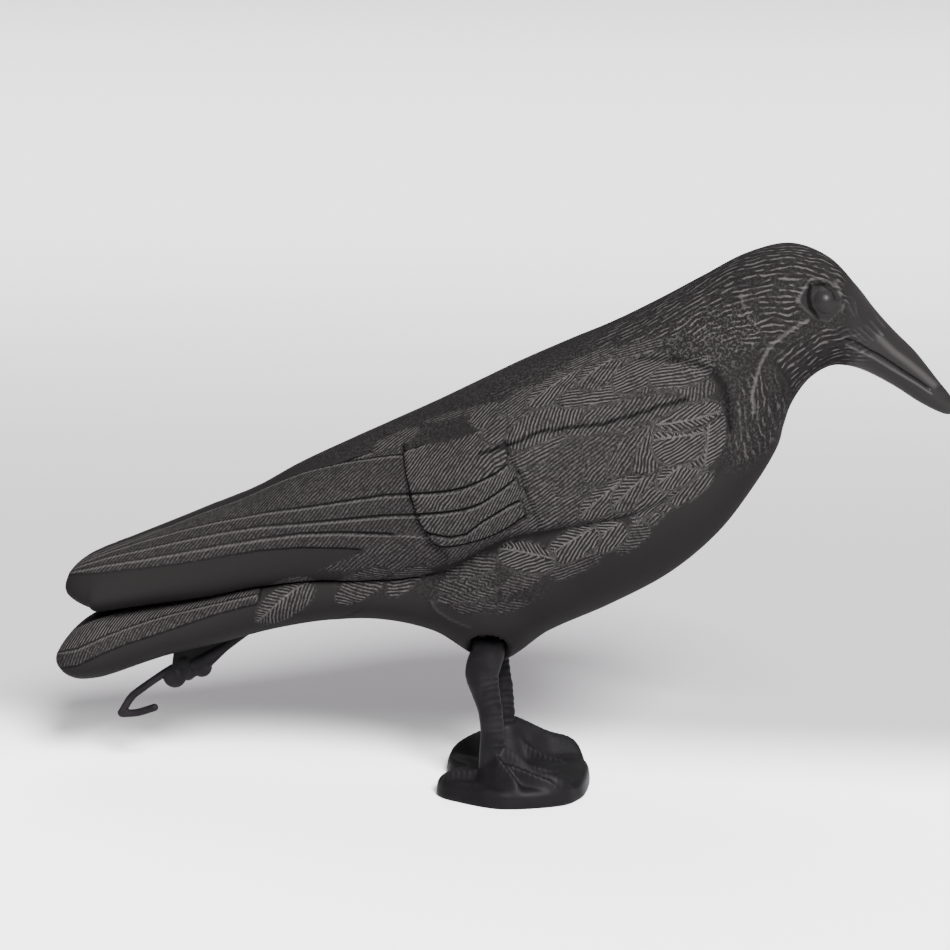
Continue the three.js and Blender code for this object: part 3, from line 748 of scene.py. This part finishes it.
def grid_normals(points):
    """Cross product of the two directions of the grid, scaled to length 1."""
    along = np.gradient(points, axis=0)
    across = np.gradient(points, axis=1)
    normal = np.cross(along, across)
    size = np.linalg.norm(normal, axis=2, keepdims=True)
    return normal / np.maximum(size, 1e-9)


def dressed_part(part, below_crease):
    """One part of one side with all relief, and its canvas."""
    x, y, z, q = np.moveaxis(part, -1, 0)
    fade = ramp(y, *PLANE_FADE)
    canvas = paint_feathers(x, q, below_crease)
    y = y + large_relief(x, z, q, y)
    points = np.dstack([x, y, z])
    normal = grid_normals(points)
    normal = normal * np.sign((normal[..., 1:2] * y[..., None]).sum() or 1)
    marks = marks_relief(x, q) * ramp(part[..., 1], *MARK_FADE)
    canvas["marks"] = marks
    rise = canvas["height"] * fade + marks
    points = points + normal * rise[..., None]
    points[..., 1] = eye_shape(points[..., 0], points[..., 1], points[..., 2])
    if below_crease:
        points[..., 2] = leg_recess(points[..., 0], points[..., 1], points[..., 2])
    points[..., 1] = np.where(part[..., 1] > 1e-6, np.maximum(points[..., 1], 0.02), 0)
    return points, canvas


def dressed_side(columns):
    """Both parts of a side, with one shared crease ahead of the fork and one beak tip."""
    lower, upper = half_grid(stations, columns)
    parts = [dressed_part(lower, True), dressed_part(upper, False)]
    joined = stations <= FORK_AT
    parts[0][0][joined, -1] = parts[1][0][joined, 0]
    tip = (parts[0][0][0, 0] + parts[1][0][0, -1]) / 2
    for points, _ in parts:
        points[0] = tip
    return parts


def grid_faces(rows, count, start, flip):
    """Quads a, a+count, a+count+1, a+1 over a grid, turned round for the mirrored side."""
    a = start + (np.arange(rows - 1)[:, None] * count + np.arange(count - 1)[None, :]).ravel()
    order = (0, count, count + 1, 1) if not flip else (1, count + 1, count, 0)
    return np.stack([a + step for step in order], axis=1)


def weld(points, faces):
    """Merges points in one place, and drops what closes up: faces of fewer than 3 corners."""
    _, first, merged = np.unique(np.round(points, 4), axis=0, return_index=True, return_inverse=True)
    faces = merged.ravel()[faces]
    kept = []
    for face in faces[(faces[:, None, :] == faces[:, :, None]).sum(axis=(1, 2)) > 4]:
        corners = list(dict.fromkeys(face.tolist()))
        if len(corners) > 2:
            kept.append(corners)
    whole = faces[(faces[:, None, :] == faces[:, :, None]).sum(axis=(1, 2)) == 4]
    return points[first], whole.tolist() + kept, first


def new_piece(name, points, faces, body="root"):
    """A smooth mesh object in metres from points in millimetres."""
    mesh = bpy.data.meshes.new(name)
    mesh.from_pydata((np.asarray(points) * MM).tolist(), [], faces)
    mesh.polygons.foreach_set("use_smooth", np.ones(len(mesh.polygons), bool))
    mesh.update()
    piece = bpy.data.objects.new(name, mesh)
    bpy.context.scene.collection.objects.link(piece)
    if body:
        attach(piece, body)
    return piece


def edge_codes(sides):
    """A number 0 to 7 for every feather, different from all that it touches."""
    touching = {}
    for parts in sides:
        for _, canvas in parts:
            own = canvas["owner"].astype(int)
            pairs = np.concatenate([
                np.stack([own[1:].ravel(), own[:-1].ravel()], 1),
                np.stack([own[:, 1:].ravel(), own[:, :-1].ravel()], 1),
            ])
            for a, b in np.unique(pairs[pairs[:, 0] != pairs[:, 1]], axis=0):
                touching.setdefault(int(a), set()).add(int(b))
                touching.setdefault(int(b), set()).add(int(a))
    codes = {}
    for own in sorted(touching):
        used = {codes[other] for other in touching[own] if other in codes}
        codes[own] = min(set(range(8)) - used)
    return codes


sides = [dressed_side(FAR_COLUMNS), dressed_side(NEAR_COLUMNS)]
codes = edge_codes(sides)
print("feathers on a side:", len(codes), "codes used:", len(set(codes.values())))
code_of = np.array([codes.get(i, 0) for i in range(200)])

all_points, all_faces, layers, start = [], [], {"edge": [], "barb": [], "chart": [], "streak": []}, 0
for mirrored, parts in enumerate(sides):
    for points, canvas in parts:
        rows, count = points.shape[:2]
        all_points.append((points * [1, -1 if mirrored else 1, 1]).reshape(-1, 3))
        all_faces.append(grid_faces(rows, count, start, bool(mirrored)))
        start += rows * count
        code = code_of[canvas["owner"].astype(int)]
        signs = np.stack([((code >> bit) & 1) * 2 - 1 for bit in range(3)], axis=-1)
        layers["edge"].append((signs * canvas["edge"][..., None]).reshape(-1, 3))
        trio = np.dstack([canvas["barb"], canvas["barbed"], canvas["shaft"]])
        layers["barb"].append(trio.reshape(-1, 3))
        x, q = canvas["x"], canvas["q"]
        scratches = np.max([patch(x, q, spot) for spot in SCRATCHES], axis=0)
        scratches *= ramp(np.hypot(x - EYE_CLEAR[0], q - EYE_CLEAR[1]), 6.5, EYE_CLEAR[2])
        noisy = FEATHER_SCRATCHES * canvas["barbed"] * np.clip(1.5 - canvas["barbed"], 0, 1)
        scratches = np.maximum(scratches, noisy)
        trio = np.dstack([canvas["marks"], scratches, canvas["cut"]])
        layers["chart"].append(trio.reshape(-1, 3))
        field = streak_field(x, q)
        field[..., 2] *= np.where(canvas["owner"] > 0, 0, 1)
        layers["streak"].append(field.reshape(-1, 3))

points, faces, first = weld(np.vstack(all_points), np.vstack(all_faces))
body = new_piece("body_shell", points, faces)
for name, values in layers.items():
    layer = body.data.attributes.new(name, "FLOAT_VECTOR", "POINT")
    layer.data.foreach_set("vector", np.vstack(values)[first].astype(np.float32).ravel())
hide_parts("body")
print("body:", len(points), "points,", len(faces), "faces")

# %% [markdown]
# The feet and the hook are solid mouldings with soft inside corners, where plastic
# flowed round the steel. Each is drawn as simple closed forms that overlap: tubes
# along paths, a pad, a web. A fine voxel remesh then fuses them, and a little
# smoothing rounds every joint the way the mould does.

# %% Tubes, pad and fusing
ROUND = 28


def path_tube(path, radii, steps, flat=1.0):
    """Tube: circle r(cos, sin) across a Catmull-Rom path, closed by half-round ends."""
    rows = np.hstack([np.array(path, float), np.array(radii, float)[:, None]])
    body_rows = blend_rows(rows, np.linspace(0, len(rows) - 1, steps))
    centre, radius = body_rows[:, :3], body_rows[:, 3]
    direction = np.gradient(centre, axis=0)
    direction /= np.linalg.norm(direction, axis=1, keepdims=True)
    turn = np.linspace(-math.pi / 2, 0, 7)[:-1]
    cap = np.sin(turn)[:, None], np.cos(turn)
    head = centre[0] + direction[0] * cap[0] * radius[0]
    tail = (centre[-1] - direction[-1] * cap[0] * radius[-1])[::-1]
    centre = np.vstack([head, centre, tail])
    radius = np.concatenate([cap[1] * radius[0], radius, (cap[1] * radius[-1])[::-1]])
    direction = np.vstack([
        np.repeat(direction[:1], 6, 0), direction, np.repeat(direction[-1:], 6, 0)
    ])
    side = np.zeros_like(direction)
    side[:, 1] = 1
    side -= direction * (side * direction).sum(axis=1, keepdims=True)
    side /= np.linalg.norm(side, axis=1, keepdims=True)
    up = np.cross(direction, side)
    angle = np.linspace(0, 2 * math.pi, ROUND, endpoint=False)
    ring = np.cos(angle)[None, :, None] * side[:, None] * flat + np.sin(angle)[None, :, None] * up[:, None]
    return centre[:, None] + ring * radius[:, None, None]


def ring_faces(rows, count, start):
    """Quads round a stack of rings, outward for rings that turn from side towards up."""
    i, j = np.arange(rows - 1)[:, None], np.arange(count)[None, :]
    a, b = i * count + j, i * count + (j + 1) % count
    return np.stack([a, a + count, b + count, b], axis=-1).reshape(-1, 4) + start


def join_rings(stacks):
    """Points and faces of several stacks of rings, each closed at its ends by a point."""
    points, faces, start = [], [], 0
    for rings in stacks:
        rings = np.array(rings)
        rings[0] = rings[0].mean(axis=0)
        rings[-1] = rings[-1].mean(axis=0)
        points.append(rings.reshape(-1, 3))
        faces.append(ring_faces(*rings.shape[:2], start))
        start += rings.shape[0] * rings.shape[1]
    return weld(np.vstack(points), np.vstack(faces))[:2]


def fuse(piece, voxel, smoothing):
    """Replaces a mesh by its voxel remesh, with every joint softened."""
    remesh = piece.modifiers.new("remesh", "REMESH")
    remesh.mode = "VOXEL"
    remesh.voxel_size = voxel * MM
    remesh.use_smooth_shade = True
    smooth = piece.modifiers.new("smooth", "SMOOTH")
    smooth.iterations = smoothing
    smooth.factor = 0.5
    graph = bpy.context.evaluated_depsgraph_get()
    mesh = bpy.data.meshes.new_from_object(piece.evaluated_get(graph))
    piece.modifiers.clear()
    piece.data = mesh
    print(piece.name, "fused:", len(mesh.polygons), "faces")


PAD_OUTLINE = [
    (34.2, 0), (33.6, 11), (31.5, 18.5), (26.3, 26.6), (14, 32.8), (1, 35.7), (-8, 34.2),
    (-21, 28), (-28, 23.4), (-31.3, 17), (-29, 8.5), (-22, 0),
]
PAD_CENTRE = (3.0, 0.0)
PAD_RIM = 2.4
PAD_TOP = 8.6
PAD_FULLNESS = 24
LEG_PATH = [(-6.4, 10), (-6.4, 22), (-6.4, 30), (-7.4, 40), (-9.4, 48), (-10.9, 56.5), (-8.4, 66), (-8.0, 71.6),
            (-8.0, 73)]
LEG_PEG = ([(-10.6, 60), (-10.6, 78)], 3.0)
LEG_RADII = [6.2, 5.6, 5.2, 5.4, 6.2, 7.4, 7.4, 6.9, 2]
LEG_FLATTEN = 0.8
LEG_RIBS = {"pitch": 3.1, "rise": 0.035}
FOOT_SIDE = 19.0
# Each toe's crest as x, distance from the middle plane and height, then its roundness, how
# steeply its sides fall, and its side: 0 both, 1 left, -1 right
TOES = [
    ([(-5, 20, 27), (2, 22, 23.8), (13, 24, 18.4), (22, 24.5, 16.4), (28, 24, 14.4), (31.5, 22, 10.5)], 2.0, 1.3, 1),
    ([(-4, 19, 25), (0, 20, 23.5), (5.5, 22, 20.2), (12, 24, 16), (23, 25, 13), (31.5, 23, 9.8)], 1.8, 1.7, -1),
    ([(-4, 25, 18), (3.5, 26, 17), (15, 27.8, 14.2), (28, 27.5, 10)], 0.5, 3.5, 0),
    ([(-5, 22, 21), (-2, 25.5, 19), (2, 29, 15.6), (5.5, 32, 12.6)], 0.8, 1.9, 0),
    ([(-3, 17, 20), (6, 12.5, 14.5), (14, 9.5, 11.6), (22, 8, 9.8)], 0.6, 1.7, 0),
    ([(-6, 19, 24), (-12, 19.5, 20.5), (-20, 19.5, 16.6), (-28, 19.5, 12)], 1.8, 1.2, 1),
    ([(-4, 21, 15.5), (-10, 21, 13.8), (-16, 21, 13.0), (-22, 21, 12.2), (-27, 21.5, 11)], 0.6, 1.8, -1),
]
CREST_BLEND = 0.7
SCUTE_PITCH = 2.5
SCUTE_RISE = 0.28
SCUTE_REACH = 2.6


def crest_height(x, y, path, roundness, slope):
    """Crest height minus sqrt((slope*away)^2+round^2)-round: a rounded ridge that falls
    away on both sides, with low cross ribs along its top."""
    rows = np.array(path, float)
    line = blend_rows(rows, np.linspace(0, len(rows) - 1, 90))
    away = np.hypot(x[..., None] - line[:, 0], y[..., None] - line[:, 1])
    fall = np.hypot(slope * away, roundness) - roundness
    run = np.concatenate([[0], np.cumsum(np.linalg.norm(np.diff(line, axis=0), axis=1))])
    ribs = SCUTE_RISE * np.cos(2 * math.pi * run / SCUTE_PITCH) * np.exp(-((away / SCUTE_REACH) ** 2))
    return (line[:, 2] + ribs - fall).max(axis=-1)


def pad_rings():
    """Foot mound: the outline shrunk by s, at height rim + (top-rim)*sqrt(1-s^n), where top
    is the soft maximum k*log(sum exp(height/k)) of the flat top and all toe crests."""
    half = np.array(PAD_OUTLINE, float)
    whole = np.vstack([half, (half * [1, -1])[-2:0:-1]])
    loop = np.vstack([whole[-1:], whole, whole[:2]])
    u = np.linspace(1, len(whole) + 1, 240, endpoint=False)
    outline = blend_rows(loop, u) - PAD_CENTRE
    s = np.concatenate([np.linspace(0, 0.85, 52), 1 - 0.15 * np.cos(np.linspace(0, math.pi / 2, 20)[1:])])
    scale = np.concatenate([s, [1.0, 0.985, 0.5, 0]])
    rings = np.empty((len(scale), len(outline), 3))
    rings[..., :2] = outline[None] * scale[:, None, None] + PAD_CENTRE
    x, y = rings[: len(s), :, 0], rings[: len(s), :, 1]
    heights = [np.full(x.shape, PAD_TOP)]
    for path, roundness, slope, side in TOES:
        heights.append(crest_height(x, y * side if side else np.abs(y), path, roundness, slope))
    top = CREST_BLEND * np.log(sum(np.exp(height / CREST_BLEND) for height in heights))
    full = np.sqrt(1 - s**PAD_FULLNESS)[:, None]
    rings[: len(s), :, 2] = PAD_RIM + (top - PAD_RIM) * full
    rings[len(s) :, :, 2] = np.array([0.3, 0, 0, 0])[:, None]
    return rings


def ribbed_leg(side):
    """Leg tube with low ribs on its front: radius grows by cos along it where x is ahead."""
    path = np.array([(x, side * FOOT_SIDE, z) for x, z in LEG_PATH])
    rings = path_tube(path, LEG_RADII, 150, LEG_FLATTEN)
    middle = rings.mean(axis=1, keepdims=True)
    spoke = rings - middle
    height = middle[..., 2:3]
    ahead = np.clip(0.45 + spoke[..., 0:1] / 5, 0, 1)
    fading = 1 - ramp(height, 52, 60)
    uneven = height + 0.5 * np.sin(height) + 0.4 * np.sin(0.37 * height)
    ribs = LEG_RIBS["rise"] * np.cos(2 * math.pi * uneven / LEG_RIBS["pitch"]) * ahead * fading
    return middle + spoke * (1 + ribs)


stacks = [pad_rings(), ribbed_leg(1), ribbed_leg(-1)]
for side in (1, -1):
    peg = [(x, side * FOOT_SIDE, z) for x, z in LEG_PEG[0]]
    stacks.append(path_tube(peg, [LEG_PEG[1]] * 2, 12))
foot_stand = new_piece("feet_moulding", *join_rings(stacks))
fuse(foot_stand, 0.5, 3)
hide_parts("foot_stand")

# %% [markdown]
# The hanging hook is a bent rod with a four-lobed grip, a tongue that plugs into
# the tail, and a thin web of plastic between them. The lobes are flattened balls.

# %% Hook
TONGUE = ([(-110.5, 72.6), (-124, 62.5), (-133, 56.2), (-142, 50.5)], [1.9, 2.2, 2.8, 3.2])
ROD = ([(-148, 51), (-156.5, 45.6), (-168, 37.2), (-172.2, 33.4), (-175.8, 27.6),
        (-176.6, 26.2), (-174.6, 26.1), (-168.6, 26.9), (-161.4, 29.4)], [1.75] * 9)
LOBES = [(-151.9, 44.2, 5.3), (-139.6, 49.2, 4.9), (-146.2, 46.8, 4.4), (-147, 51, 4.6)]
LOBE_FLATTEN = 0.5
WEB = [(-118, 66.6), (-130, 63.2), (-151.6, 57.2), (-152.6, 50), (-150, 43.5), (-144, 43.6), (-137, 47.5)]
WEB_THICK = 3.4


def ball_rings(x, z, radius, flat):
    """Ball as rings from pole to pole: radius times cos and sin, flattened across."""
    turn = np.linspace(0, math.pi, 17)
    angle = np.linspace(0, 2 * math.pi, ROUND, endpoint=False)
    ring = np.stack([np.cos(angle), np.zeros(ROUND), np.sin(angle)], axis=1)
    points = ring[None] * np.sin(turn)[:, None, None] * radius
    points[..., 1] += (np.cos(turn) * radius * flat)[:, None]
    return points + [x, 0, z]


def plate_rings(outline, thick):
    """Flat plate: the outline at both faces, closed at its middle."""
    outline = np.array(outline, float)
    dense = np.vstack([
        a + (b - a) * np.linspace(0, 1, 7)[:-1, None]
        for a, b in zip(outline, np.roll(outline, -1, axis=0))
    ])
    rings = []
    for y, scale in ((thick / 2, 0.5), (thick / 2, 1), (-thick / 2, 1), (-thick / 2, 0.5)):
        flat = dense.mean(axis=0) + (dense - dense.mean(axis=0)) * scale
        rings.append(np.stack([flat[:, 0], np.full(len(flat), y), flat[:, 1]], axis=1))
    return np.array([rings[0] * 1.0] + rings + [rings[-1] * 1.0])


def flat_path(points):
    """x z pairs as points on the middle plane."""
    return [(x, 0.0, z) for x, z in points]


stacks = [
    path_tube(flat_path(TONGUE[0]), TONGUE[1], 30),
    path_tube(flat_path(ROD[0]), ROD[1], 90),
    plate_rings(WEB, WEB_THICK),
] + [ball_rings(x, z, radius, LOBE_FLATTEN) for x, z, radius in LOBES]
tail_hook = new_piece("hook_moulding", *join_rings(stacks))
fuse(tail_hook, 0.3, 2)
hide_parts("tail_hook")

# %% [markdown]
# Black polyethylene straight from a mould is not polished. It takes the fine blast
# texture of the steel, so highlights spread wide and grey. The barbs, streaks and
# scratches come from the same mould. Light is painted into the colour as well: ridges
# of barbs, shafts, streaks and raised marks are painted lighter as highlights, and
# feather edges and grooves are painted near black as shade. On the feet, crests are
# painted lighter, and hollows and low parts darker.

# %% Materials


def linear(code):
    """sRGB hex to linear: below 0.04045 value/12.92, above ((value+0.055)/1.055)^2.4."""
    values = [int(code[i : i + 2], 16) / 255 for i in (1, 3, 5)]
    return [v / 12.92 if v <= 0.04045 else ((v + 0.055) / 1.055) ** 2.4 for v in values] + [1.0]


def add(tree, kind, links=None, **settings):
    """Adds a node, sets its settings, then sets or links its inputs by name or number."""
    node = tree.nodes.new(kind)
    for name, value in settings.items():
        setattr(node, name, value)
    for key, value in (links or {}).items():
        socket = node.inputs[key]
        if isinstance(value, bpy.types.NodeSocket):
            tree.links.new(value, socket)
        else:
            socket.default_value = value
    return node


def new_material(name):
    """An empty material with its output and shader."""
    material = bpy.data.materials.new(name)
    material.use_nodes = True
    tree = material.node_tree
    tree.nodes.clear()
    shader = add(tree, "ShaderNodeBsdfPrincipled")
    add(tree, "ShaderNodeOutputMaterial", {"Surface": shader.outputs["BSDF"]})
    return material, tree, shader


def math_node(tree, operation, *values):
    """A sum, product or other step; its result socket."""
    return add(tree, "ShaderNodeMath", dict(enumerate(values)), operation=operation).outputs[0]


def between(tree, value, low, high, out_low=0.0, out_high=1.0):
    """Smooth step of a value from low to high onto another range."""
    span = {0: value, 1: low, 2: high, 3: out_low, 4: out_high}
    return add(tree, "ShaderNodeMapRange", span, interpolation_type="SMOOTHSTEP").outputs[0]


def read(tree, name):
    """The three numbers of one of the mesh's own attributes."""
    vector = add(tree, "ShaderNodeAttribute", attribute_name=name).outputs["Vector"]
    return add(tree, "ShaderNodeSeparateXYZ", {0: vector}).outputs


def noise(tree, place, per_mm, **settings):
    """Noise with a number of cells for each millimetre of the real surface."""
    links = {"Vector": place, "Scale": per_mm / MM, "Detail": 2.0}
    return add(tree, "ShaderNodeTexNoise", {**links, **settings}).outputs["Fac"]


SHEEN = (0.005, 0.06)
GLOSS = (0.55, 0.3)
material, tree, shader = new_material("black_blow_moulded_polyethylene")
place = add(tree, "ShaderNodeTexCoord").outputs["Object"]
sides_of_edge = [math_node(tree, "ABSOLUTE", socket) for socket in read(tree, "edge")]
away = math_node(tree, "MINIMUM", math_node(tree, "MINIMUM", *sides_of_edge[:2]), sides_of_edge[2])
turns, strength, shaft = read(tree, "barb")
marked, scratched, cut = read(tree, "chart")
along, across, streaked = read(tree, "streak")
grid = add(tree, "ShaderNodeCombineXYZ", {0: math_node(tree, "MULTIPLY", along, 0.26), 1: across})
torn = add(tree, "ShaderNodeTexNoise", {"Vector": grid.outputs[0], "Scale": 0.8, "Detail": 1.0})
torn = between(tree, torn.outputs["Fac"], 0.4, 0.62)
waver = math_node(tree, "MULTIPLY", noise(tree, place, 0.1), 2.2)
streaks = math_node(tree, "MULTIPLY", math_node(tree, "ADD", across, waver), 2 * math.pi)
streaks = between(tree, math_node(tree, "SINE", streaks), -0.2, 1.0, -0.3, 0.9)
streaks = math_node(tree, "MULTIPLY", streaks, torn)
streaks = math_node(tree, "MULTIPLY", streaks, streaked)
scratches = between(tree, noise(tree, place, 0.95, Detail=3.0), 0.4, 0.62, -0.3, 0.4)
scratches = math_node(tree, "MULTIPLY", scratches, scratched)
marks = math_node(tree, "ADD", streaks, scratches)
clear = between(tree, away, 0.15, 0.6, -1.0, 0.0)
clear = math_node(tree, "MULTIPLY", clear, math_node(tree, "MAXIMUM", cut, 0.85))
clear = math_node(tree, "ADD", clear, 1.0)
wobble = math_node(tree, "MULTIPLY", noise(tree, place, 0.12), 1.6)
wave = math_node(tree, "MULTIPLY", math_node(tree, "ADD", turns, wobble), 2 * math.pi)
wave = between(tree, math_node(tree, "SINE", wave), -0.7, 1.0, -0.2, 1.0)
uneven = between(tree, noise(tree, place, 0.35), 0.3, 0.62, 0.4, 1.0)
wave = math_node(tree, "MULTIPLY", wave, uneven)
barbs = math_node(tree, "MULTIPLY", math_node(tree, "MULTIPLY", wave, strength), clear)
barbs = math_node(tree, "ADD", barbs, marks)
# Painted shade: feather edges where cut is set, and the grooves of the marks, are painted near black, the shade that
# falls in them; the same mask also sinks them a little in the bump
groove = math_node(tree, "MULTIPLY", between(tree, away, 0.1, 0.75, 1.0, 0.0), cut)
groove = math_node(tree, "MAXIMUM", groove, between(tree, marked, -0.7, -0.1, 0.85, 0.0))
on_shaft = between(tree, math_node(tree, "ABSOLUTE", shaft), 0.2, 0.8, 1.0, 0.0)
shown = math_node(tree, "MULTIPLY", clear, math_node(tree, "MAXIMUM", strength, 0.8))
on_shaft = math_node(tree, "MULTIPLY", on_shaft, shown)
height = math_node(tree, "MULTIPLY", barbs, 0.17)
height = math_node(tree, "ADD", height, math_node(tree, "MULTIPLY", groove, -0.5))
height = math_node(tree, "ADD", height, math_node(tree, "MULTIPLY", on_shaft, 0.15))
height = math_node(tree, "ADD", height, math_node(tree, "MULTIPLY", noise(tree, place, 1.6), 0.04))
bump = add(tree, "ShaderNodeBump", {"Height": height, "Distance": MM, "Strength": 1.0})
tree.links.new(bump.outputs[0], shader.inputs["Normal"])
# Painted highlight: barb and streak ridges, scratches, shafts, raised marks and feather edges are painted lighter,
# standing in for the light their ridges catch
ridge_highlight = math_node(tree, "ADD", barbs, math_node(tree, "MULTIPLY", on_shaft, 0.6))
ridge_highlight = math_node(tree, "ADD", ridge_highlight, between(tree, marked, 0.15, 0.8, 0.0, 0.6))
edge_highlight = math_node(tree, "MULTIPLY", math_node(tree, "SUBTRACT", 1.0, clear), strength)
ridge_highlight = math_node(tree, "ADD", ridge_highlight, math_node(tree, "MULTIPLY", edge_highlight, 0.3))
ridge_highlight = between(tree, ridge_highlight, -0.2, 1.15)
# Base colour runs from dark to light with the painted highlight, then to near black where the groove shade is
# painted
tone = add(tree, "ShaderNodeMix", {0: ridge_highlight}, data_type="RGBA")
tone.inputs[6].default_value = linear("#100f0f")
tone.inputs[7].default_value = linear("#323030")
groove_shade = add(tree, "ShaderNodeMix", {0: groove}, data_type="RGBA")
tree.links.new(tone.outputs[2], groove_shade.inputs[6])
groove_shade.inputs[7].default_value = linear("#040404")
tree.links.new(groove_shade.outputs[2], shader.inputs["Base Color"])
ahead, outward, upward = add(tree, "ShaderNodeSeparateXYZ", {0: place}).outputs
beak = between(tree, ahead, 0.138, 0.152)
half = {0: ahead, 1: math_node(tree, "ABSOLUTE", outward), 2: upward}
half = add(tree, "ShaderNodeCombineXYZ", half).outputs[0]
eye_at = [EYE[axis] * MM for axis in "xyz"]
off_eye = add(tree, "ShaderNodeVectorMath", {0: half, 1: eye_at}, operation="DISTANCE").outputs["Value"]
glossy = between(tree, off_eye, EYE["radius"] * MM * 1.02, EYE["radius"] * MM * 1.08, 0.7, 0.0)
glossy = math_node(tree, "MAXIMUM", glossy, beak)
tree.links.new(between(tree, glossy, 0.0, 1.0, *SHEEN), shader.inputs["Specular IOR Level"])
tree.links.new(between(tree, glossy, 0.0, 1.0, *GLOSS), shader.inputs["Roughness"])
body.data.materials.append(material)

material, tree, shader = new_material("black_moulded_stand_plastic")
place = add(tree, "ShaderNodeTexCoord").outputs["Object"]
grain = add(tree, "ShaderNodeTexNoise", {"Vector": place, "Scale": 900.0, "Detail": 3.0})
bump = add(
    tree, "ShaderNodeBump", {"Height": grain.outputs["Fac"], "Distance": 0.05 * MM},
)
tree.links.new(bump.outputs[0], shader.inputs["Normal"])
# Painted light on the feet and hook: convex crests are painted lighter as highlights and hollows darker as shade
# (from pointiness), with a random mottle on top
convex = add(tree, "ShaderNodeNewGeometry").outputs["Pointiness"]
painted_light_and_mottle = between(tree, convex, 0.485, 0.56)
painted_light_and_mottle = math_node(tree, "ADD", painted_light_and_mottle, between(tree, noise(tree, place, 0.12), 0.35, 0.7, -0.2, 0.2))
# Painted shade: below 22 mm the painted light fades, to 0.4 of itself at 8 mm and under, so the lower parts are
# darker
held = between(tree, add(tree, "ShaderNodeSeparateXYZ", {0: place}).outputs["Z"], 0.008, 0.022, 0.4, 1.0)
painted_light_and_mottle = math_node(tree, "MULTIPLY", painted_light_and_mottle, held)
tone = add(tree, "ShaderNodeMix", {0: painted_light_and_mottle}, data_type="RGBA")
tone.inputs[6].default_value = linear("#0a090a")
tone.inputs[7].default_value = linear("#161416")
tree.links.new(tone.outputs[2], shader.inputs["Base Color"])
shader.inputs["Roughness"].default_value = 0.5
shader.inputs["Specular IOR Level"].default_value = 0.03
foot_stand.data.materials.clear()
foot_stand.data.materials.append(material)
tail_hook.data.materials.clear()
tail_hook.data.materials.append(material)

# %% [markdown]
# The decoy stands on a pale floor in soft light from above. The floor goes on far
# behind it, where its colour is painted in bands of shade: darker just behind the
# bird, like a wall in shade, which also deepens the cast shadow there, then lighter,
# then darker again far off.

# %% Floor and light
FLOOR_HALF = 30000.0
corners = [(-FLOOR_HALF, -FLOOR_HALF, 0), (FLOOR_HALF, -FLOOR_HALF, 0),
           (FLOOR_HALF, FLOOR_HALF, 0), (-FLOOR_HALF, FLOOR_HALF, 0)]
floor = new_piece("floor", corners, [(0, 1, 2, 3)], body=None)
material, tree, shader = new_material("pale_paper_floor")
place = add(tree, "ShaderNodeTexCoord").outputs["Object"]
depth = add(tree, "ShaderNodeSeparateXYZ", {0: place}).outputs["Y"]
banded_floor_shade = linear("#e8e7e9")
# Painted shade: a darker band 0 to 0.12 m behind the bird, lighter from 0.35 to 2 m, darker again by 9 m
for start, end, tone in ((0.0, 0.12, "#8a878a"), (0.35, 2.0, "#bcbbbd"), (2.5, 9.0, "#939294")):
    step = add(tree, "ShaderNodeMix", {0: between(tree, depth, start, end)}, data_type="RGBA")
    if isinstance(banded_floor_shade, list):
        step.inputs[6].default_value = banded_floor_shade
    else:
        tree.links.new(banded_floor_shade, step.inputs[6])
    step.inputs[7].default_value = linear(tone)
    banded_floor_shade = step.outputs[2]
tree.links.new(banded_floor_shade, shader.inputs["Base Color"])
shader.inputs["Roughness"].default_value = 0.9
floor.data.materials.append(material)


def far_light(name, turn, height, width, strength):
    """A large soft light so far away that it lights near and far alike, width in degrees."""
    data = bpy.data.lights.new(name, "SUN")
    data.angle = math.radians(width)
    data.energy = strength
    light = bpy.data.objects.new(name, data)
    _, toward = look_from(turn, height, 1000, VIEW_TARGET)
    light.rotation_euler = toward.to_track_quat("-Z", "Y").to_euler()
    bpy.context.scene.collection.objects.link(light)


far_light("key", 26, 38, 18, 21.0)
far_light("back", 195, 62, 50, 2.2)
SKY_GLOW = (0.35, 0.9)
world = bpy.data.worlds.new("studio")
world.use_nodes = True
sky = world.node_tree
upward = add(sky, "ShaderNodeTexCoord").outputs["Generated"]
upward = add(sky, "ShaderNodeSeparateXYZ", {0: upward}).outputs["Z"]
glow = between(sky, upward, 0.0, 0.8, *SKY_GLOW)
sky.links.new(glow, sky.nodes["Background"].inputs["Strength"])
sky.nodes["Background"].inputs["Color"].default_value = linear("#ffffff")
bpy.context.scene.world = world
